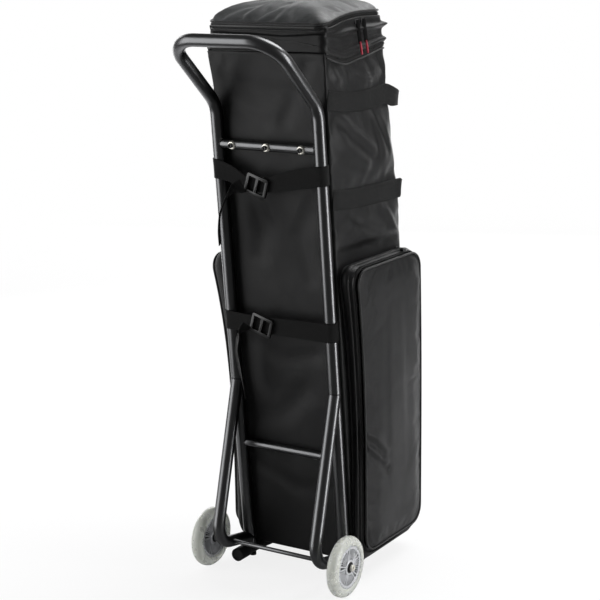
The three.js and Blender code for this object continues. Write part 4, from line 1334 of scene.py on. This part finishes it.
def addPocketCover(name, sign):
    rim, dome = pocket["rim"], pocket["dome"]
    rings = [(1, 0.0003, 0), (1, rim, 0)] + [(1, rim + rise * dome, -inset) for inset, rise in coverCrown]
    bm = pocketSkin(sign, rings)
    bmesh.ops.holes_fill(bm, edges=[e for e in bm.edges if e.is_boundary], sides=0)
    node = "pocket_cover_" + name
    made = finishPiece("pocket_face_" + name, bm, [nylonCloth], node, None, [node])
    even = remeshed(made, 0.004)

    def lifted(place):
        return abs(place.x) - pocketFront((place.z - pocket["bottomZ"]) / pocket["height"])[1] - rim

    pinned = [lifted(v.co) < 0.001 for v in even.vertices]

    def evened(times):
        bm = bmesh.new()
        bm.from_mesh(even)
        free = [vert for vert, held in zip(bm.verts, pinned) if not held]
        for _ in range(times):
            bmesh.ops.smooth_vert(bm, verts=free, factor=0.5, use_axis_x=True)
        bm.to_mesh(even)
        bm.free()

    evened(8)
    for vert in even.vertices:
        high = lifted(vert.co)
        if high > 0.0012:
            z = vert.co.z if sign > 0 else vert.co.z - 0.03
            vert.co.x += sign * foldedOut(pocketFolds, vert.co.y, z, 0.0012) * eased(high / 0.003)
    relaxCloth(made, pinned, 0.006, 1.0, 20, 0.003)
    evened(3)
    finishSoft(made)


def addPocketTrim(name, sign):
    piping, chain, back = bmesh.new(), bmesh.new(), bmesh.new()
    addPiping(piping, *pocketLine(sign, 1, pocket["rim"], 0), 0.0022, lift=0.0004)
    finishTrim("pocket_piping_" + name, piping, [pipingCloth], "pocket_cover_" + name)
    zipShare, seamShare = 0.87, 0.62
    line = pocketLine(sign, zipShare, 0, pocketBulge(zipShare) * pocket["bulge"] + 0.0005)
    addZip(chain, *line, tape=0.009)
    finishTrim("pocket_zip_" + name, chain, [tapeCloth, zipTeeth], "cart", 30)
    addPiping(back, *pocketLine(sign, seamShare, 0, pocketBulge(seamShare) * pocket["bulge"]), 0.0015)
    addPiping(back, *pocketLine(sign, 0.03, 0, 0.003), 0.0018)
    finishTrim("pocket_back_piping_" + name, back, [pipingCloth], "cart")


for name, sign in (("left", -1), ("right", 1)):
    addPocketTray(name, sign)
    addPocketCover(name, sign)
    addPocketTrim(name, sign)
print("pockets made")

# Webbing: flat straps swept with a little crown, then given their thickness


def strapSection(width, crown, steps=8):
    shares = [k / steps for k in range(steps + 1)]
    return [(crown * (1 - (2 * share - 1) ** 2), width * (share - 0.5)) for share in shares]


# Stations of a strap: a place, the way across it and how wide it is there
def smoothStations(stations, spacing):
    places = [Vector(place) for place, _, _ in stations]
    sides = [Vector(side).normalized() for _, side, _ in stations]
    widths = [width for _, _, width in stations]
    marks = [0]
    for a, b in zip(places, places[1:]):
        marks.append(marks[-1] + (b - a).length)
    count = max(4, round(marks[-1] / spacing))
    made = []
    for k in range(count + 1):
        at = marks[-1] * k / count
        place, side = (Vector([smoothAt(marks, c, at) for c in zip(*given)]) for given in (places, sides))
        made.append((place, side.normalized(), shareAt(marks, widths, at)))
    return made


def strapMatrices(stations):
    matrices = []
    last = len(stations) - 1
    for k, (place, side, width) in enumerate(stations):
        before, after = stations[max(k - 1, 0)][0], stations[min(k + 1, last)][0]
        heading = (after - before).normalized()
        side = (side - heading * side.dot(heading)).normalized()
        out = side.cross(heading)
        turned = Matrix.Translation(place) @ Matrix((out, side, heading)).transposed().to_4x4()
        matrices.append(turned @ Matrix.Diagonal((1, width, 1, 1)))
    return matrices


def addStrap(name, stations, width, thickness, replaced, crown=0.0006):
    bm = bmesh.new()
    sweep(bm, strapSection(width, crown), strapMatrices(stations), closed=False)
    mapCut(bm)
    made = finishPiece(name, bm, [strapBlack], "cart", None, replaced)
    wall = made.modifiers.new("thickness", "SOLIDIFY")
    wall.thickness = thickness
    wall.offset = 0
    addBevel(made, thickness * 0.35, 60)


bagTree = BVHTree.FromObject(bagShell, bpy.context.evaluated_depsgraph_get())


# How far out the bag's side lies under a band
def bagSide(sign, y, z, half):
    reached = []
    for share in (-0.9, -0.5, 0, 0.5, 0.9):
        hit = bagTree.ray_cast(Vector((sign * 0.3, y, z + share * half)), Vector((-sign, 0, 0)))[0]
        if hit and abs(hit.x) > 0.1:
            reached.append(abs(hit.x))
    highest = sorted(reached)[-2:] or [bag["halfWidth"]]
    return sum(highest) / len(highest)


def addCarryBand(bandName, slack, rearZ):
    name = "carry_band_" + bandName
    halfBand, thickness = bands["width"] / 2, bands["thickness"]
    out = bag["halfWidth"] + 0.0005 + thickness / 2
    front = bagRear(rearZ) + bagDepth(rearZ)
    rear = bagRear(rearZ) + 0.0015
    right, sides = [], []
    steps = 14
    for k in range(steps + 1):
        y = rear + (front - 0.012 - rear) * k / steps
        z = bandZ(bandName, y)
        reached, leftReached = (bagSide(sign, y, z, halfBand) + thickness * 0.35 for sign in (1, -1))
        right.append((Vector((reached, y, z)), Vector((0, 0, 1)), 1.0))
        sides.append(leftReached)
    loopZ = bandZ(bandName, front)
    # the loose part is folded in half across the front, as a grab handle
    for share, inset, narrow in bands["loop"]:
        drop = (0.004 + 0.012 * share) * (slack > 0.03)
        place = Vector((out * (1 - inset), front + share * (slack + 0.0005), loopZ - drop))
        right.append((place, Vector((0, 0.25 * share, 1)), narrow))
    left = [(Vector((-p.x, p.y, p.z)), s, w) for p, s, w in right]
    for (place, _, _), reached in zip(left, sides):
        place.x = -reached
    left.reverse()
    addStrap(name + "_webbing", smoothStations(right + left, 0.007), 2 * halfBand, thickness, [name])
    stitches = bmesh.new()
    for offset in (-1, 1):
        for sign in (-1, 1):
            shift = Vector((sign * thickness / 2, 0, offset * (halfBand - 0.003)))
            line = [s[0] + shift for s in (right[:steps] if sign > 0 else left[:-steps - 1:-1])]
            addStitches(stitches, line, [Vector((sign, 0, 0))] * len(line))
    finishTrim(name + "_stitches", stitches, [stitchThread], "cart", 30)


addCarryBand("upper", 0.062, 0.998)
addCarryBand("lower", 0.016, 0.803)
print("carry bands made")

# Frame straps, their tails and their buckles, in the frame of the uprights

webbing = {"width": 0.040, "thickness": 0.0016}
strapAround = upright["radius"] + 0.0003 + 0.0008
frameStraps = {
    "upper": {
        "z": 0.856, "buckle": (-0.022, 0.830), "narrow": 0.72, "sideways": 0.25,
        # place, tilt, turn and share of the width
        "tail": [
            ((-0.048, -0.0268, 0.830), 60, 0, 0.75), ((-0.065, -0.034, 0.823), 52, 9, 0.72),
            ((-0.081, -0.043, 0.804), 42, 31, 0.7), ((-0.094, -0.047, 0.776), 28, 53, 0.7),
            ((-0.0998, -0.047, 0.743), 12, 62, 0.72), ((-0.102, -0.045, 0.712), 2, 62, 0.74),
        ],
    },
    "lower": {
        "z": 0.540, "buckle": (-0.034, 0.540), "narrow": 0.86, "sideways": 0.1,
        "tail": [
            ((-0.062, -0.0268, 0.540), 60, 0, 0.75), ((-0.079, -0.035, 0.521), 48, 20, 0.6),
            ((-0.086, -0.039, 0.488), 36, 40, 0.5), ((-0.086, -0.035, 0.4515), 24, 40, 0.48),
            ((-0.0824, -0.0316, 0.4136), 12, 48, 0.5), ((-0.0776, -0.033, 0.382), 0, 56, 0.55),
        ],
    },
}


def addFrameStrap(name):
    s = frameStraps[name]
    up, x = mastUp, upright["halfSpacing"]

    def wrap(sign):
        made = []
        for k in range(9):
            turn = math.radians(150 + 15 * k)
            across, back = strapAround * math.cos(turn), strapAround * math.sin(turn)
            made.append((onMast(sign * (x - across), back, s["z"]), up, 1.0))
        return made

    bx, bz = s["buckle"]
    left, right = wrap(-1), wrap(1)
    # out to where each end is sewn into the bag's side
    for ends in (left, right):
        first, second = ends[0][0], ends[1][0]
        ends.insert(0, (first + (first - second).normalized() * 0.007, up, 1.0))
    right.reverse()
    flat, climb, n = -strapAround, s["z"] - bz, s["narrow"]
    lean = mastTurn @ Vector((s["sideways"], 0, 1))
    middle = [
        (onMast(-0.085, flat, s["z"] - climb * 0.30), lean, 0.5 + n / 2),
        (onMast(bx - 0.030, flat - 0.0005, bz + climb * 0.08), lean, n),
        (onMast(bx, flat - 0.0005, bz), up, n),
        (onMast(bx + 0.030, flat - 0.0005, bz + climb * 0.10), up, n * 1.05),
        (onMast(0.055, flat - 0.0005, bz + climb * 0.55), up, 0.98),
    ]
    tail = []
    for place, tilt, turn, width in s["tail"]:
        tilt, turn = math.radians(tilt), math.radians(turn)
        side = Matrix.Rotation(-turn, 3, "Z") @ Vector((math.cos(tilt), 0, math.sin(tilt)))
        tail.append((onMast(*place), mastTurn @ side, width))
    for piece, node, stations, crown in (
        ("strap_", "frame_strap_", left + middle + right, 0.0004), ("strap_end_", "strap_tail_", tail, 0.0015),
    ):
        path = smoothStations(stations, 0.004)
        addStrap(piece + name, path, webbing["width"], webbing["thickness"], [node + name], crown)


addFrameStrap("upper")
addFrameStrap("lower")
print("frame straps made")

# Wheels

wheel = {
    "place": (0.1645, -0.079659, 0.0625), "lugs": 30, "lugRadius": 0.0418, "spokes": 5, "steps": 72,
    "barOuter": 0.0380, "barFace": 0.0076, "lugFace": 0.0106,
}
# radius and half width
tyreProfile = [
    (0.0438, 0.0100), (0.0450, 0.0116), (0.0480, 0.0120), (0.0518, 0.0118), (0.0562, 0.0107),
    (0.0596, 0.0086), (0.0617, 0.0056), (0.0625, 0.0020),
]
rimProfile = [(0.0374, 0.0096), (0.0384, 0.0106), (0.0426, 0.0106), (0.0437, 0.0096)]
# a dark disc between the two faces of bars, filling the hub's windows: painted shade in the gaps between the
# bars
gapShadeProfile = [(0.0140, 0.0058), (0.0376, 0.0058)]
bossProfile = [(0.0113, 0.0108), (0.0119, 0.0114), (0.0150, 0.0114), (0.0158, 0.0104)]
# angle from the middle of a spoke, width, inner radius
barPlaces = [
    (-7, 0.0030, 0.0150), (7, 0.0030, 0.0150), (17, 0.0013, 0.0165), (25, 0.0013, 0.0180),
    (32, 0.0013, 0.0190), (40, 0.0013, 0.0190), (47, 0.0013, 0.0180), (55, 0.0013, 0.0165),
]


def spinProfile(bm, profile, centre, steps):
    loop = profile + [(r, -x) for r, x in reversed(profile)]
    verts = [bm.verts.new((centre[0] + x, centre[1], centre[2] + r)) for r, x in loop]
    edges = [bm.edges.new((verts[k - 1], verts[k])) for k in range(len(verts))]
    bmesh.ops.spin(
        bm, geom=verts + edges, cent=centre, axis=(1, 0, 0), angle=2 * math.pi, steps=steps, use_merge=True,
    )


def addWheel(side, sign):
    body = "wheel_" + side
    x, y, z = wheel["place"]
    centre = Vector((sign * x, y, z))
    bm = bmesh.new()
    spinProfile(bm, tyreProfile, centre, wheel["steps"])
    finishPiece("tyre_body_" + side, bm, [clearTyre], body, 50, ["tyre_" + side])

    bm = bmesh.new()
    spinProfile(bm, rimProfile, centre, wheel["steps"])
    spinProfile(bm, bossProfile, centre, 48)
    outer = wheel["barOuter"]

    def turned(angle, out, up, size):
        turn = Matrix.Translation(centre) @ Matrix.Rotation(angle, 4, "X")
        return turn @ Matrix.Translation((out, 0, up)) @ Matrix.Diagonal((*size, 1))

    for spoke in range(wheel["spokes"]):
        for angle, width, inner in barPlaces:
            turn = math.radians(5 + 360 / wheel["spokes"] * spoke + angle)
            for face in (-1, 1):
                size = (0.0046, width, outer - inner)
                place = turned(turn, face * wheel["barFace"], (inner + outer) / 2, size)
                bmesh.ops.create_cube(bm, size=1, matrix=place)
    for k in range(wheel["lugs"]):
        turn = 2 * math.pi * k / wheel["lugs"]
        for face in (-1, 1):
            place = turned(turn, face * wheel["lugFace"], wheel["lugRadius"], (0.0008, 0.0034, 0.0026))
            lug = bmesh.ops.create_icosphere(bm, subdivisions=1, radius=0.55, matrix=place)
            paintSecond(lug["verts"])
    hub = finishPiece("hub_body_" + side, bm, [hubSilver, zinc], body, 35, ["hub_" + side])
    # the dark disc in the hub's windows: painted shade in the gaps between the bars
    gapShade = bmesh.new()
    spinProfile(gapShade, gapShadeProfile, centre, wheel["steps"])
    finishPiece("hub_gap_shade_" + side, gapShade, [blackPlastic], body, 35)
    addBevel(hub, 0.0003, 50)


addWheel("left", -1)
addWheel("right", 1)
print("wheels made")

# Lid pulls: a flat loop of tape that hangs over the folds, with a red grip at its end

pulls = {
    "width": 0.0078, "thickness": 0.0018, "gripWidth": 0.0046, "gripThickness": 0.0032,
    "facing": (0.72, 0.62, 0.0),
    # the tape's section, in halves of its thickness and width
    "section": [(-1, -0.8), (-0.4, -1), (0.4, -1), (1, -0.8), (1, 0.8), (0.4, 1), (-0.4, 1), (-1, 0.8)],
    # place and share of the width
    "tape": [
        ((0.1374, 0, 1.1405), 1.0), ((0.1388, 0.001, 1.1260), 1.0), ((0.1400, 0.0035, 1.1080), 1.0),
        ((0.1408, 0.006, 1.0950), 1.0),
    ],
    "grip": [
        ((0.1406, 0.0052, 1.0990), 0.8), ((0.1411, 0.0068, 1.0910), 1.0), ((0.1415, 0.0085, 1.0820), 1.0),
        ((0.1418, 0.0100, 1.0740), 0.75),
    ],
}


def addPull(name, y, rise):
    body = "lid_pull_" + name

    def hung(part, section, spacing, material, smooth, node):
        facing = pulls["facing"]
        places = [(Vector((x, y + shift, z + rise)), facing, w) for (x, shift, z), w in pulls[part]]
        bm = bmesh.new()
        sweep(bm, section, strapMatrices(smoothStations(places, spacing)), caps=True)
        made = finishTrim(body + "_" + part, bm, [material], body, smooth)
        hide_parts(node)

    half, thick = pulls["width"] / 2, pulls["thickness"] / 2
    flat = [(thick * a, half * b) for a, b in pulls["section"]]
    hung("tape", flat, 0.003, strapBlack, 40, body)
    half, thick = pulls["gripWidth"] / 2, pulls["gripThickness"] / 2
    turns = [math.radians(angle) for angle in range(0, 360, 30)]
    oval = [(thick * math.cos(turn), half * math.sin(turn)) for turn in turns]
    hung("grip", oval, 0.002, redCord, 60, "lid_pull_tip_" + name)


addPull("rear", 0.0203, 0.0)
addPull("front", 0.0433, 0.0015)
print("pulls made")

# Finish on the CAD nodes that show

nodeFinishes = {
    # material and width of the rounded edges, by how a node's name starts
    "cup_washer": (nickel, 0.0004), "crossbar_screw": (blackSteel, 0.0006), "backing_strip": (zinc, 0.0005),
    "axle_bolt": (nickel, 0.0004), "axle_washer": (blackSteel, 0.0003), "axle_spacer": (zinc, 0.0003),
    "axle": (gunmetal, 0.0003), "bearing": (blackSteel, 0.0003), "toe_end_cap": (rubber, 0.0005),
    "frame_foot": (rubber, 0.0008), "front_foot": (rubber, 0.0008), "base_board": (blackPlastic, 0.0006),
    "lid_slider": (blackSteel, 0.0012), "pocket_slider": (blackSteel, 0.0012),
    "pocket_pull": (blackPlastic, 0.0005), "strap_buckle": (blackPlastic, 0.0012),
}


def dressNode(node, material, edge):
    node.data.materials.clear()
    node.data.materials.append(material)
    node.data.shade_smooth()
    weld = node.modifiers.new("weld", "WELD")
    weld.merge_threshold = 0.00002
    addBevel(node, edge, 40).harden_normals = True


for name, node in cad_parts.items():
    found = [key for key in nodeFinishes if name.startswith(key)]
    if found:
        dressNode(node, *nodeFinishes[max(found, key=len)])
print("CAD nodes dressed")
